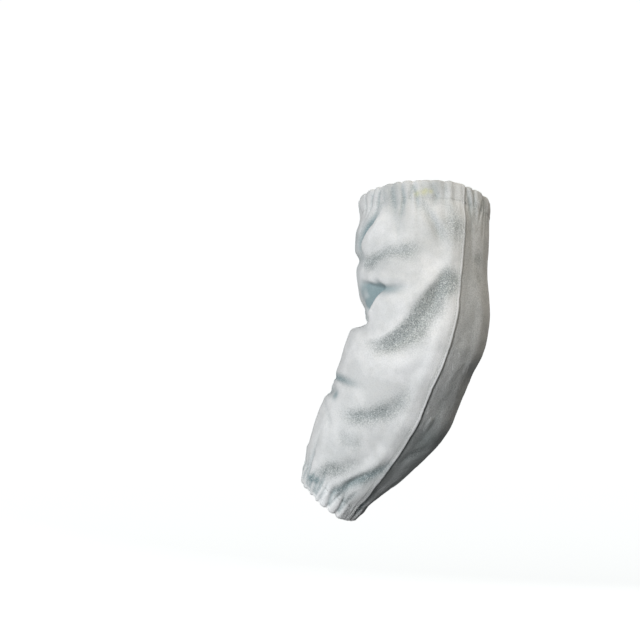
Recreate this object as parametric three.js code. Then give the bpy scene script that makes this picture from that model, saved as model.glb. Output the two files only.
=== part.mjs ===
// Leather welding sleeve, worn on a bent arm and gathered by elastic at both ends.
// Two panels of split leather are lapped and sewn along the arm. Both ends are turned in
// as a hem, and each hem holds a flat elastic band. The origin is the centre of the upper
// opening, +Z is up and -Y is the side that faces a viewer. Units are millimetres.
import * as THREE from "three";

const toRadians = THREE.MathUtils.degToRad;

// The arm's line: from the upper opening down to the elbow corner, then on to the wrist
const UPPER_ARM_LENGTH = 163.5;
const FOREARM_LENGTH = 213.7;
const ELBOW_BEND_RADIUS = 110;
const UPPER_ARM_TILT_DEG = 10;
const FOREARM_TILT_DEG = 8;
const FOREARM_SLOPE_DEG = 30.4;

// Outside sizes of the sleeve at three places: width is side to side, depth front to back
const UPPER_WIDTH = 152;
const UPPER_DEPTH = 126;
const ELBOW_WIDTH = 146;
const ELBOW_DEPTH = 128;
const WRIST_WIDTH = 82;
const WRIST_DEPTH = 68;

// Each opening is pulled up the arm at the front, and the upper one drops at its sides
const UPPER_RIM_SLANT_DEG = 7;
const UPPER_RIM_OUTER_DROP = 6;
const UPPER_RIM_INNER_DROP = 2;
const WRIST_RIM_SLANT_DEG = 8.4;
const WRIST_RIM_OUTER_SLANT_DEG = 7;
const UPPER_SLANT_REACH = 110;
const WRIST_SLANT_REACH = 80;

// Leather, seams and hems
const LEATHER_THICKNESS = 1.5;
const SHEET_GAP = 0.3;
const LAP_WIDTH = 12;
const LAP_EASE = 14;
const SEAM_RIDGE_HEIGHT = 2.4;
const SEAM_RIDGE_WIDTH = 9;
const HIDDEN_SEAM_TURN_DEG = 180;
const HEM_TURN_UNDER = 6;
const HEM_STITCH_BAND = 2.5;
const HEM_FOLD_BULGE = 0.9;
const RIM_SCALLOP = 0.8;

// Elastic bands inside the hems
const ELASTIC_WIDTH = 12;
const ELASTIC_THICKNESS = 1.2;
const ELASTIC_CLEARANCE = 0.4;
const CHANNEL_EASE = 2;

// Gathers at the two ends
const UPPER_PLEATS = 22;
const WRIST_PLEATS = 17;
const UPPER_PLEAT_HEIGHT = 2.6;
const WRIST_PLEAT_HEIGHT = 2.8;
const PLEAT_REACH = 18;

// Folds of the body: the table below holds shares of these two
const FOLD_DEPTH = 7;
const FOLD_WIDTH = 16;

// Steps of the mesh. Cuff rows have twice the steps of body rows.
const PANEL_STEPS = 22;
const LAP_STEPS = 2;
const BODY_ROWS = 23;
const ELBOW_ROW_CROWDING = 0.25;
const ELASTIC_STEPS = 40;

// Shape of the body along the arm. along is a share of the sleeve's length, and the other
// columns are shares of the half width or half depth there.
const SECTIONS = [
  { along: 0.0, outer: 0.99, inner: 0.96, front: 0.99, back: 0.99 },
  { along: 0.053, outer: 0.99, inner: 0.94, front: 0.99, back: 0.99 },
  { along: 0.11, outer: 1.0, inner: 1.03, front: 1.04, back: 1.04 },
  { along: 0.24, outer: 0.98, inner: 1.03, front: 1.03, back: 1.03 },
  { along: 0.34, outer: 1.02, inner: 0.99, front: 1.01, back: 1.01 },
  { along: 0.43, outer: 1.02, inner: 0.97, front: 1.0, back: 0.98 },
  { along: 0.52, outer: 1.04, inner: 1.14, front: 1.04, back: 1.02 },
  { along: 0.64, outer: 1.25, inner: 1.12, front: 1.1, back: 1.08 },
  { along: 0.74, outer: 1.27, inner: 1.16, front: 1.14, back: 1.12 },
  { along: 0.83, outer: 1.2, inner: 1.16, front: 1.14, back: 1.13 },
  { along: 0.91, outer: 1.03, inner: 1.12, front: 1.09, back: 1.09 },
  { along: 0.947, outer: 0.95, inner: 1.06, front: 1.0, back: 1.0 },
  { along: 1.0, outer: 0.9, inner: 0.98, front: 0.96, back: 0.96 },
];

// The seam that shows: around is its angle from the outer side towards the front, in degrees
const SEAM_LINE = [
  { along: 0.0, around: 51 },
  { along: 0.15, around: 54 },
  { along: 0.25, around: 57 },
  { along: 0.35, around: 62 },
  { along: 0.43, around: 66 },
  { along: 0.5, around: 66 },
  { along: 0.58, around: 61 },
  { along: 0.67, around: 57 },
  { along: 0.76, around: 54 },
  { along: 0.86, around: 51 },
  { along: 0.92, around: 46 },
  { along: 1.0, around: 36 },
];

// Folds run from one place to another. depth and width are shares of FOLD_DEPTH and
// FOLD_WIDTH, a negative depth is a ridge, bow bends the line sideways by a share of its
// length, and skew makes one bank steeper.
const FOLDS = [
  // Front, upper arm
  { from: 0.145, fromDeg: 262, to: 0.195, toDeg: 92, depth: 1.1, width: 0.44, bow: 0.036, skew: 0.0 },
  { from: 0.07, fromDeg: 136, to: 0.185, toDeg: 166, depth: 0.5, width: 0.34, bow: 0.08, skew: 0.3 },
  { from: 0.055, fromDeg: 93, to: 0.22, toDeg: 79, depth: 0.28, width: 0.36, bow: -0.05, skew: 0.2 },
  { from: 0.05, fromDeg: 72, to: 0.16, toDeg: 68, depth: 0.25, width: 0.4, bow: 0.0, skew: 0.0 },
  // Front, elbow: the pocket at the crook, then the broad diagonal and its two ridges
  { from: 0.318, fromDeg: 106, to: 0.287, toDeg: 146, depth: 0.75, width: 0.34, bow: 0.03, skew: -0.3 },
  { from: 0.275, fromDeg: 138, to: 0.395, toDeg: 166, depth: 1.0, width: 0.42, bow: 0.06, skew: -0.4 },
  { from: 0.42, fromDeg: 142, to: 0.452, toDeg: 236, depth: 1.3, width: 0.55, bow: 0.0, skew: 0.3 },
  { from: 0.37, fromDeg: 146, to: 0.39, toDeg: 240, depth: 0.75, width: 0.6, bow: 0.0, skew: 0.0 },
  { from: 0.215, fromDeg: 56, to: 0.545, toDeg: 156, depth: 0.72, width: 1.0, bow: 0.03, skew: -0.2 },
  { from: 0.235, fromDeg: 70, to: 0.365, toDeg: 140, depth: -0.45, width: 0.6, bow: 0.0, skew: 0.0 },
  { from: 0.3, fromDeg: 66, to: 0.6, toDeg: 130, depth: -0.4, width: 0.9, bow: -0.08, skew: 0.0 },
  // Front, forearm
  { from: 0.672, fromDeg: 186, to: 0.625, toDeg: 112, depth: 0.4, width: 0.3, bow: 0.03, skew: 0.2 },
  { from: 0.742, fromDeg: 236, to: 0.695, toDeg: 142, depth: 0.8, width: 0.36, bow: 0.0, skew: 0.0 },
  { from: 0.74, fromDeg: 124, to: 0.5, toDeg: 78, depth: 0.42, width: 0.7, bow: -0.1, skew: 0.0 },
  { from: 0.785, fromDeg: 120, to: 0.79, toDeg: 72, depth: 0.2, width: 0.5, bow: 0.0, skew: 0.0 },
  { from: 0.945, fromDeg: 134, to: 0.84, toDeg: 90, depth: 0.6, width: 0.42, bow: -0.06, skew: 0.2 },
  { from: 0.945, fromDeg: 92, to: 0.745, toDeg: 60, depth: 0.8, width: 0.52, bow: -0.05, skew: 0.2 },
  { from: 0.94, fromDeg: 108, to: 0.71, toDeg: 72, depth: -0.35, width: 0.45, bow: -0.05, skew: 0.0 },
  // Outer side
  { from: 0.33, fromDeg: 30, to: 0.7, toDeg: 36, depth: 0.3, width: 0.6, bow: 0.03, skew: 0.0 },
  { from: 0.8, fromDeg: 50, to: 0.7, toDeg: 22, depth: 0.4, width: 0.45, bow: 0.0, skew: 0.0 },
  { from: 0.3, fromDeg: -6, to: 0.255, toDeg: 38, depth: 0.3, width: 0.5, bow: 0.0, skew: 0.0 },
  { from: 0.945, fromDeg: 10, to: 0.83, toDeg: 16, depth: 0.5, width: 0.4, bow: 0.0, skew: 0.0 },
  // Back
  { from: 0.4, fromDeg: 204, to: 0.31, toDeg: 274, depth: 0.7, width: 0.6, bow: 0.05, skew: 0.0 },
  { from: 0.455, fromDeg: 204, to: 0.53, toDeg: 280, depth: 0.8, width: 0.7, bow: -0.05, skew: 0.0 },
  { from: 0.25, fromDeg: 236, to: 0.215, toDeg: 306, depth: 0.35, width: 0.7, bow: 0.03, skew: 0.0 },
  { from: 0.06, fromDeg: 222, to: 0.18, toDeg: 232, depth: 0.4, width: 0.36, bow: 0.05, skew: 0.0 },
  { from: 0.06, fromDeg: 284, to: 0.21, toDeg: 272, depth: 0.35, width: 0.4, bow: -0.05, skew: 0.0 },
  { from: 0.06, fromDeg: 330, to: 0.16, toDeg: 324, depth: 0.3, width: 0.36, bow: 0.0, skew: 0.0 },
  { from: 0.64, fromDeg: 214, to: 0.6, toDeg: 280, depth: 0.4, width: 0.6, bow: 0.04, skew: 0.0 },
  { from: 0.945, fromDeg: 236, to: 0.77, toDeg: 226, depth: 0.6, width: 0.42, bow: 0.05, skew: 0.0 },
  { from: 0.945, fromDeg: 286, to: 0.8, toDeg: 276, depth: 0.6, width: 0.42, bow: -0.05, skew: 0.0 },
  { from: 0.945, fromDeg: 332, to: 0.83, toDeg: 326, depth: 0.45, width: 0.4, bow: 0.0, skew: 0.0 },
];

// How the frequency and height of the gathers wander around an end
const PLEAT_WANDER = [
  { turns: 2, swing: 1.3, start: 0.6 },
  { turns: 5, swing: 0.7, start: 2.1 },
];
const PLEAT_HEIGHT_WANDER = { turns: 3, share: 0.28, start: 1.1 };

const smooth = THREE.MathUtils.smoothstep;

// Directions of the upper arm and the forearm, and the arc between them
const upperTilt = toRadians(UPPER_ARM_TILT_DEG);
const foreTilt = toRadians(FOREARM_TILT_DEG);
const foreSlope = toRadians(FOREARM_SLOPE_DEG);
const upperDirection = new THREE.Vector3(0, -Math.sin(upperTilt), -Math.cos(upperTilt));
const foreDirection = new THREE.Vector3(
  -Math.sin(foreSlope) * Math.cos(foreTilt),
  Math.sin(foreTilt),
  -Math.cos(foreSlope) * Math.cos(foreTilt),
);
const bendAngle = upperDirection.angleTo(foreDirection);
const bendInset = ELBOW_BEND_RADIUS * Math.tan(bendAngle / 2);
const bendStart = UPPER_ARM_LENGTH - bendInset;
const bendEnd = bendStart + ELBOW_BEND_RADIUS * bendAngle;
const sleeveLength = bendEnd + FOREARM_LENGTH - bendInset;
const elbowAlong = (bendStart + bendEnd) / 2 / sleeveLength;
const bendSide = foreDirection
  .clone()
  .addScaledVector(upperDirection, -foreDirection.dot(upperDirection))
  .normalize();

// Depths under the outer face, at the hems
const channelLength = ELASTIC_WIDTH + CHANNEL_EASE;
const hemDepth = channelLength + HEM_STITCH_BAND;
const hemEnd = hemDepth + HEM_TURN_UNDER;
const elasticTop = LEATHER_THICKNESS + ELASTIC_CLEARANCE;
const channelFloor = elasticTop + ELASTIC_THICKNESS + ELASTIC_CLEARANCE;
const sewnFloor = LEATHER_THICKNESS + SHEET_GAP;
const lapLift = LEATHER_THICKNESS + SHEET_GAP;
const rimRound = HEM_FOLD_BULGE + LEATHER_THICKNESS;

// Centre and direction of the arm's line at a distance from the upper opening
function armLine(distance) {
  const turned = THREE.MathUtils.clamp((distance - bendStart) / ELBOW_BEND_RADIUS, 0, bendAngle);
  const centre = upperDirection
    .clone()
    .multiplyScalar(Math.min(distance, bendStart) + ELBOW_BEND_RADIUS * Math.sin(turned))
    .addScaledVector(bendSide, ELBOW_BEND_RADIUS * (1 - Math.cos(turned)))
    .addScaledVector(foreDirection, Math.max(distance - bendEnd, 0));
  const tangent = upperDirection
    .clone()
    .multiplyScalar(Math.cos(turned))
    .addScaledVector(bendSide, Math.sin(turned));
  return { centre, tangent };
}

// One column of a table, read between its rows by a smooth curve
function readColumn(rows, column, along) {
  const slopeAt = (row) => {
    const before = rows[Math.max(row - 1, 0)];
    const after = rows[Math.min(row + 1, rows.length - 1)];
    return (after[column] - before[column]) / (after.along - before.along);
  };
  const place = THREE.MathUtils.clamp(along, rows[0].along, rows[rows.length - 1].along);
  let row = 0;
  while (row < rows.length - 2 && place > rows[row + 1].along) {
    row += 1;
  }
  const span = rows[row + 1].along - rows[row].along;
  const t = (place - rows[row].along) / span;
  return (
    (2 * t ** 3 - 3 * t ** 2 + 1) * rows[row][column] +
    (t ** 3 - 2 * t ** 2 + t) * span * slopeAt(row) +
    (3 * t ** 2 - 2 * t ** 3) * rows[row + 1][column] +
    (t ** 3 - t ** 2) * span * slopeAt(row + 1)
  );
}

// A size that runs straight from the upper opening to the elbow, and on to the wrist
function taperedSize(upper, elbow, wrist, along) {
  if (along < elbowAlong) {
    return THREE.MathUtils.lerp(upper, elbow, Math.max(along, 0) / elbowAlong);
  }
  return THREE.MathUtils.lerp(elbow, wrist, Math.min((along - elbowAlong) / (1 - elbowAlong), 1));
}

// Half sizes of the section at a distance: outer, inner, front and back
function sectionAt(distance) {
  const along = distance / sleeveLength;
  const halfWidth = taperedSize(UPPER_WIDTH, ELBOW_WIDTH, WRIST_WIDTH, along) / 2;
  const halfDepth = taperedSize(UPPER_DEPTH, ELBOW_DEPTH, WRIST_DEPTH, along) / 2;
  return {
    outer: halfWidth * readColumn(SECTIONS, "outer", along),
    inner: halfWidth * readColumn(SECTIONS, "inner", along),
    front: halfDepth * readColumn(SECTIONS, "front", along),
    back: halfDepth * readColumn(SECTIONS, "back", along),
  };
}

function meanRadius(distance) {
  const { outer, inner, front, back } = sectionAt(distance);
  return (outer + inner + front + back) / 4;
}

// A point of the smooth form. angle is 0 at the outer side and a quarter turn at the front.
function formPoint(distance, angle) {
  const { centre, tangent } = armLine(distance);
  const front = new THREE.Vector3(0, -1, 0);
  front.addScaledVector(tangent, -front.dot(tangent)).normalize();
  const side = front.clone().cross(tangent);
  const half = sectionAt(distance);
  const across = Math.cos(angle) * (Math.cos(angle) > 0 ? half.outer : half.inner);
  const forward = Math.sin(angle) * (Math.sin(angle) > 0 ? half.front : half.back);
  const upperPull = 1 - smooth(distance, 0, UPPER_SLANT_REACH);
  const wristPull = 1 - smooth(sleeveLength - distance, 0, WRIST_SLANT_REACH);
  const sideDrop = Math.cos(angle) > 0 ? UPPER_RIM_OUTER_DROP : UPPER_RIM_INNER_DROP;
  const slide =
    upperPull * (sideDrop * Math.cos(angle) ** 2 - forward * Math.tan(toRadians(UPPER_RIM_SLANT_DEG))) +
    wristPull * forward * Math.tan(toRadians(WRIST_RIM_SLANT_DEG)) +
    wristPull * across * Math.tan(toRadians(WRIST_RIM_OUTER_SLANT_DEG));
  return centre
    .addScaledVector(side, across)
    .addScaledVector(front, forward)
    .addScaledVector(tangent, slide);
}

// The direction straight out of the smooth form
function formNormal(distance, angle) {
  const step = 0.01;
  const around = formPoint(distance, angle + step).sub(formPoint(distance, angle - step));
  const down = formPoint(distance + 1, angle).sub(formPoint(distance - 1, angle));
  return around.cross(down).normalize();
}

function seamAngle(distance) {
  return toRadians(readColumn(SEAM_LINE, "around", distance / sleeveLength));
}

// The shorter way round from one angle to another
function turnBetween(from, to) {
  return Math.atan2(Math.sin(to - from), Math.cos(to - from));
}

// Distance over the leather to the nearer of the two seams, past either edge of its lap
function seamDistance(distance, angle) {
  const radius = meanRadius(distance);
  const seam = seamAngle(distance);
  const lap = LAP_WIDTH / radius;
  const laps = [seam + lap / 2, seam + toRadians(HIDDEN_SEAM_TURN_DEG) - lap / 2];
  const nearest = Math.min(...laps.map((middle) => Math.abs(turnBetween(middle, angle))));
  return Math.max(nearest - lap / 2, 0) * radius;
}

// Gathers stand out of the surface, are held at the stitch row and fade along the body
function pleatHeight(distance, angle) {
  const fromWrist = distance > sleeveLength / 2;
  const fromRim = Math.max((fromWrist ? sleeveLength - distance : distance) - rimRound, 0);
  const count = fromWrist ? WRIST_PLEATS : UPPER_PLEATS;
  const height = fromWrist ? WRIST_PLEAT_HEIGHT : UPPER_PLEAT_HEIGHT;
  const wander = PLEAT_WANDER.reduce(
    (sum, wave) => sum + wave.swing * Math.sin(wave.turns * angle + wave.start),
    0,
  );
  const { turns, share, start } = PLEAT_HEIGHT_WANDER;
  const uneven = 1 - share * (1 + Math.sin(turns * angle + start)) / 2;
  const arch = Math.abs(Math.cos((count * angle + wander) / 2));
  const held = 1 - 0.4 * Math.exp(-(((fromRim - hemDepth) / HEM_STITCH_BAND) ** 2));
  const fade = Math.exp(-Math.max(fromRim - hemDepth, 0) / PLEAT_REACH);
  const clear = smooth(seamDistance(distance, angle), 0, LAP_WIDTH);
  return height * uneven * arch * held * fade * clear;
}

// One fold of the table: a bowed line whose two banks may differ
function foldHeight(fold, distance, angle) {
  const radius = meanRadius(distance);
  const middle = toRadians((fold.fromDeg + fold.toDeg) / 2);
  const half = toRadians(fold.toDeg - fold.fromDeg) / 2;
  const runAlong = (fold.to - fold.from) * sleeveLength;
  const runAround = 2 * half * radius;
  const length = Math.hypot(runAlong, runAround);
  const offAlong = distance - fold.from * sleeveLength;
  const offAround = (turnBetween(middle, angle) + half) * radius;
  const t = (offAlong * runAlong + offAround * runAround) / length ** 2;
  if (t <= 0 || t >= 1) {
    return 0;
  }
  const aside = (offAround * runAlong - offAlong * runAround) / length;
  const off = aside - fold.bow * length * 4 * t * (1 - t);
  const width = fold.width * FOLD_WIDTH * (off > 0 ? 1 + fold.skew : 1 - fold.skew);
  const ends = smooth(t, 0, 0.22) * (1 - smooth(t, 0.7, 1));
  return -fold.depth * FOLD_DEPTH * ends * Math.exp(-((off / width) ** 2));
}

function seamRidge(distance, angle) {
  const past = seamDistance(distance, angle) / SEAM_RIDGE_WIDTH;
  return SEAM_RIDGE_HEIGHT * Math.exp(-(past ** 2));
}

// Height of the leather's outer face over the smooth form
function reliefHeight(distance, angle) {
  const fromRim = Math.min(distance, sleeveLength - distance);
  const open = smooth(fromRim, hemEnd, 2 * hemEnd);
  const folds = FOLDS.reduce((sum, fold) => sum + foldHeight(fold, distance, angle), 0);
  return pleatHeight(distance, angle) + open * (folds + seamRidge(distance, angle));
}

// Shares of the body with its rows drawn together at the elbow, where the folds are tight
function crowded(share) {
  const wave = (place) => Math.sin(2 * Math.PI * (place - elbowAlong));
  return share - (ELBOW_ROW_CROWDING * (wave(share) - wave(0))) / (2 * Math.PI);
}

// Rows of a panel, from the raw edge inside the upper hem, round the rim, down the body
// and into the wrist hem. Each row says where its outward and its hidden skin lie, and
// lift is how far the panel stands off at a lap.
function panelRows() {
  const hemRows = (rim, inward) => {
    const scallop = (angle, lift) =>
      HEM_FOLD_BULGE + lift + RIM_SCALLOP * reliefHeight(rim, angle);
    const turned = (fromRim, floor) => ({
      fine: false,
      at: rim + inward * fromRim,
      skin: (angle, lift) => [rim + inward * fromRim, -floor - LEATHER_THICKNESS - lift],
      lining: (angle, lift) => [rim + inward * fromRim, -floor - lift],
    });
    const round = (share) => ({
      fine: true,
      at: rim,
      skin: (angle, lift) => {
        const top = reliefHeight(rim, angle) + lift;
        const bottom = -channelFloor - LEATHER_THICKNESS - lift;
        const bulge = scallop(angle, lift) + LEATHER_THICKNESS;
        return [rim - inward * bulge, THREE.MathUtils.lerp(top, bottom, share)];
      },
      lining: (angle, lift) => {
        const top = reliefHeight(rim, angle) + lift - LEATHER_THICKNESS;
        const bottom = -channelFloor - lift;
        return [rim - inward * scallop(angle, lift), THREE.MathUtils.lerp(top, bottom, share)];
      },
    });
    return [
      turned(hemEnd, sewnFloor),
      turned(hemDepth, sewnFloor),
      turned(channelLength, channelFloor),
      turned(0, channelFloor),
      round(0.75),
      round(0.25),
    ];
  };
  const outerRow = (distance, fine) => ({
    fine,
    at: distance,
    skin: (angle, lift) => [distance, reliefHeight(distance, angle) + lift],
    lining: (angle, lift) => [distance, reliefHeight(distance, angle) + lift - LEATHER_THICKNESS],
  });
  const cuffPlaces = [0, hemDepth, hemEnd + HEM_STITCH_BAND].map((place) => rimRound + place);
  const bodyStart = rimRound + hemEnd + HEM_STITCH_BAND * 3;
  const bodyRows = Array.from({ length: BODY_ROWS + 1 }, (_, row) =>
    outerRow(
      THREE.MathUtils.lerp(bodyStart, sleeveLength - bodyStart, crowded(row / BODY_ROWS)),
      false,
    ),
  );
  return [
    ...hemRows(rimRound, 1),
    ...cuffPlaces.map((place) => outerRow(place, true)),
    ...bodyRows,
    ...cuffPlaces.toReversed().map((place) => outerRow(sleeveLength - place, true)),
    ...hemRows(sleeveLength - rimRound, -1).reverse(),
  ];
}

// Angles of a row's points. Both panels share the steps inside a lap, so that the lapped
// sheets stay parallel.
function rowAngles(row, panel) {
  const lap = LAP_WIDTH / meanRadius(row.at);
  const start = panel.start(row.at, lap);
  const end = panel.end(row.at, lap);
  const split = row.fine ? 2 : 1;
  const angles = [];
  for (let step = 0; step < LAP_STEPS * split; step += 1) {
    angles.push(start + (lap * step) / (LAP_STEPS * split));
  }
  for (let step = 0; step <= PANEL_STEPS * split; step += 1) {
    angles.push(THREE.MathUtils.lerp(start + lap, end - lap, step / (PANEL_STEPS * split)));
  }
  for (let step = 1; step <= LAP_STEPS * split; step += 1) {
    angles.push(end - lap + (lap * step) / (LAP_STEPS * split));
  }
  return angles;
}

function surfacePoint([distance, height], angle) {
  return formPoint(distance, angle).addScaledVector(formNormal(distance, angle), height);
}

// Triangles between two rows of point numbers, where either may have twice the steps
function stripTriangles(upper, lower) {
  const triangles = [];
  const steps = Math.min(upper.length, lower.length) - 1;
  for (let j = 0; j < steps; j += 1) {
    if (upper.length === lower.length) {
      triangles.push([upper[j], upper[j + 1], lower[j]], [upper[j + 1], lower[j + 1], lower[j]]);
    } else if (upper.length < lower.length) {
      triangles.push(
        [upper[j], lower[2 * j + 1], lower[2 * j]],
        [upper[j], upper[j + 1], lower[2 * j + 1]],
        [upper[j + 1], lower[2 * j + 2], lower[2 * j + 1]],
      );
    } else {
      triangles.push(
        [upper[2 * j], upper[2 * j + 1], lower[j]],
        [upper[2 * j + 1], lower[j + 1], lower[j]],
        [upper[2 * j + 1], upper[2 * j + 2], lower[j + 1]],
      );
    }
  }
  return triangles;
}

const turnedOver = (triangles) => triangles.map(([a, b, c]) => [a, c, b]);

function solidFrom(points, triangles) {
  const geometry = new THREE.BufferGeometry();
  const positions = points.flatMap((point) => [point.x, point.y, point.z]);
  geometry.setAttribute("position", new THREE.Float32BufferAttribute(positions, 3));
  geometry.setIndex(triangles.flat());
  geometry.computeVertexNormals();
  return geometry;
}

// A panel of leather: two skins, its raw edges in the hems and its two long edges
function panelGeometry(panel) {
  const points = [];
  const skins = [];
  const linings = [];
  const put = (place, angle) => points.push(surfacePoint(place, angle)) - 1;
  for (const row of panelRows()) {
    const angles = rowAngles(row, panel);
    const lifts = angles.map((angle) => panel.lift * lapShare(row.at, angle));
    skins.push(angles.map((angle, j) => put(row.skin(angle, lifts[j]), angle)));
    linings.push(angles.map((angle, j) => put(row.lining(angle, lifts[j]), angle)));
  }
  const triangles = [];
  const last = skins.length - 1;
  for (let k = 0; k < last; k += 1) {
    triangles.push(...stripTriangles(skins[k], skins[k + 1]));
    triangles.push(...turnedOver(stripTriangles(linings[k], linings[k + 1])));
    triangles.push([skins[k][0], skins[k + 1][0], linings[k + 1][0]]);
    triangles.push([skins[k][0], linings[k + 1][0], linings[k][0]]);
    triangles.push([skins[k + 1].at(-1), skins[k].at(-1), linings[k].at(-1)]);
    triangles.push([skins[k + 1].at(-1), linings[k].at(-1), linings[k + 1].at(-1)]);
  }
  triangles.push(...turnedOver(stripTriangles(skins[0], linings[0])));
  triangles.push(...stripTriangles(skins[last], linings[last]));
  return solidFrom(points, triangles);
}

// 1 inside a lap, easing to 0 beyond it
function lapShare(distance, angle) {
  return 1 - smooth(seamDistance(distance, angle), 0, LAP_EASE);
}

// A flat band that lies straight across the channel of a hem
function elasticGeometry(rim, inward) {
  const margin = CHANNEL_EASE / 2 / channelLength;
  const [first, second] = inward > 0 ? [margin, 1 - margin] : [1 - margin, margin];
  const top = -elasticTop;
  const bottom = -elasticTop - ELASTIC_THICKNESS;
  const corners = [
    { share: first, height: top },
    { share: second, height: top },
    { share: second, height: bottom },
    { share: first, height: bottom },
  ];
  const points = [];
  const rings = corners.map(({ share, height }) =>
    Array.from({ length: ELASTIC_STEPS }, (_, step) => {
      const angle = (2 * Math.PI * step) / ELASTIC_STEPS;
      const mouth = surfacePoint([rim, height], angle);
      const stitched = surfacePoint([rim + inward * channelLength, height], angle);
      return points.push(mouth.lerp(stitched, share)) - 1;
    }),
  );
  const closed = rings.map((ring) => [...ring, ring[0]]);
  const triangles = closed.flatMap((ring, k) => stripTriangles(ring, closed[(k + 1) % 4]));
  return solidFrom(points, triangles);
}

const hiddenTurn = toRadians(HIDDEN_SEAM_TURN_DEG);
const frontPanel = {
  lift: lapLift,
  start: (distance) => seamAngle(distance),
  end: (distance) => seamAngle(distance) + hiddenTurn,
};
const backPanel = {
  lift: 0,
  start: (distance, lap) => seamAngle(distance) + hiddenTurn - lap,
  end: (distance, lap) => seamAngle(distance) + 2 * Math.PI + lap,
};

const frontLeather = new THREE.MeshStandardMaterial({
  color: 0xc9d0ce,
  roughness: 0.95,
  metalness: 0,
});
const backLeather = new THREE.MeshStandardMaterial({
  color: 0xbfc1ba,
  roughness: 0.95,
  metalness: 0,
});
const elastic = new THREE.MeshStandardMaterial({ color: 0xe6e4dd, roughness: 0.8, metalness: 0 });

function named(name, geometry, material) {
  const mesh = new THREE.Mesh(geometry, material);
  mesh.name = name;
  return mesh;
}

const sleeve = new THREE.Group();
sleeve.add(named("front_panel", panelGeometry(frontPanel), frontLeather));
sleeve.add(named("back_panel", panelGeometry(backPanel), backLeather));
sleeve.add(named("upper_elastic", elasticGeometry(rimRound, 1), elastic));
sleeve.add(named("wrist_elastic", elasticGeometry(sleeveLength - rimRound, -1), elastic));

export default sleeve;
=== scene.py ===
"""Split leather welding sleeve for a bent arm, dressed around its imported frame.

Two panels of chrome-tanned split leather are lapped and sewn along the arm. Each end is
turned in as a hem, and a flat elastic in the hem gathers the leather. The panels made
here take the place of the frame's plain ones, at the same sizes and in the same places.
Lengths are millimetres, and a name that ends in _m is in metres.
"""

import logging
import math
from dataclasses import dataclass, field
from enum import Enum
from functools import cached_property
from typing import Any, NamedTuple

import bpy
import numpy as np
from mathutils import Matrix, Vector

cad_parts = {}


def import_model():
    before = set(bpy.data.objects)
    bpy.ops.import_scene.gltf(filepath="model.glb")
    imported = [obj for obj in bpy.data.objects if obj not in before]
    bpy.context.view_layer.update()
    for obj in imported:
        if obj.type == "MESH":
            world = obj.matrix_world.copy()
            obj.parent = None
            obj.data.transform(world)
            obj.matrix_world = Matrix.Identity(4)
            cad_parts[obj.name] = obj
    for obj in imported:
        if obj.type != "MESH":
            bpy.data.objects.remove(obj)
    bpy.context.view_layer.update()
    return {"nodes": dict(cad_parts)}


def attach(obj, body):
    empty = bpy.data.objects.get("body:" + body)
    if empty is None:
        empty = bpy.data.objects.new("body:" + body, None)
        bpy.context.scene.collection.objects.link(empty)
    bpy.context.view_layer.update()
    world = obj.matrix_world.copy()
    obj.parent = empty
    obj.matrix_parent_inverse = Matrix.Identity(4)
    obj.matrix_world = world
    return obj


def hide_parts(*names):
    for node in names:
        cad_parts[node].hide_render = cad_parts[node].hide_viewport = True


LOG = logging.getLogger("sleeve")
MM = 0.001


class Station(NamedTuple):
    """A section of the worn sleeve, in shares of the half width and half depth there."""

    along: float
    outer: float
    inner: float
    front: float
    back: float


class SeamPoint(NamedTuple):
    """A place on the seam that shows: share of the length, degrees from the outer side."""

    along: float
    around: float


class Fold(NamedTuple):
    """A fold of the leather along a path.

    The path's places are shares of the length and degrees around. depth is how deep the
    valley is, and negative for a ridge. right and left are the half widths of its banks,
    seen along the path on the outside of the sleeve. crisp gives a bank a sharp crest: the
    right one above 0, the left one below 0. lean pushes the right bank over the valley, or
    the left one below 0. nap is how rough the leather lies there, and its darker tone in the
    valley is partly painted shade. The field after it is how much dark blue-green tint lies
    in the valley: partly the tanning salts, partly painted shade. fade is the share of the
    path over which each end dies out.
    """

    path: tuple[tuple[float, float], ...]
    depth: float
    right: float
    left: float
    crisp: float = 0.0
    lean: float = 0.0
    nap: float = 0.8
    salts_and_shade: float = 0.15
    fade: tuple[float, float] = (0.22, 0.3)


class Mark(NamedTuple):
    """A round mark on the leather: share of the length, degrees around, radius, strength."""

    along: float
    around: float
    radius: float
    strength: float = 1.0


class End(Enum):
    """The two ends of the sleeve, each with the direction that leads into it."""

    UPPER = 1
    WRIST = -1


class Side(Enum):
    """Which panel of the two."""

    FRONT = "front_panel"
    BACK = "back_panel"


STATIONS = (
    Station(0.0, 0.99, 0.96, 0.99, 0.99),
    Station(0.053, 0.99, 0.94, 0.99, 0.99),
    Station(0.11, 1.0, 1.03, 1.04, 1.04),
    Station(0.24, 0.98, 1.03, 1.03, 1.03),
    Station(0.34, 1.02, 0.99, 1.01, 1.01),
    Station(0.43, 1.02, 0.97, 1.0, 0.98),
    Station(0.52, 1.04, 1.14, 1.04, 1.02),
    Station(0.64, 1.25, 1.12, 1.1, 1.08),
    Station(0.74, 1.27, 1.16, 1.14, 1.12),
    Station(0.83, 1.2, 1.16, 1.14, 1.13),
    Station(0.91, 1.03, 1.12, 1.09, 1.09),
    Station(0.947, 0.95, 1.06, 1.0, 1.0),
    Station(1.0, 0.9, 0.98, 0.96, 0.96),
)

SEAM_LINE = (
    SeamPoint(0.0, 54),
    SeamPoint(0.06, 55),
    SeamPoint(0.15, 56.4),
    SeamPoint(0.25, 58.9),
    SeamPoint(0.35, 63.4),
    SeamPoint(0.43, 67.0),
    SeamPoint(0.5, 65.4),
    SeamPoint(0.58, 62.6),
    SeamPoint(0.67, 60.2),
    SeamPoint(0.76, 57.4),
    SeamPoint(0.86, 54.0),
    SeamPoint(0.92, 46.5),
    SeamPoint(1.0, 36),
)

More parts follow.
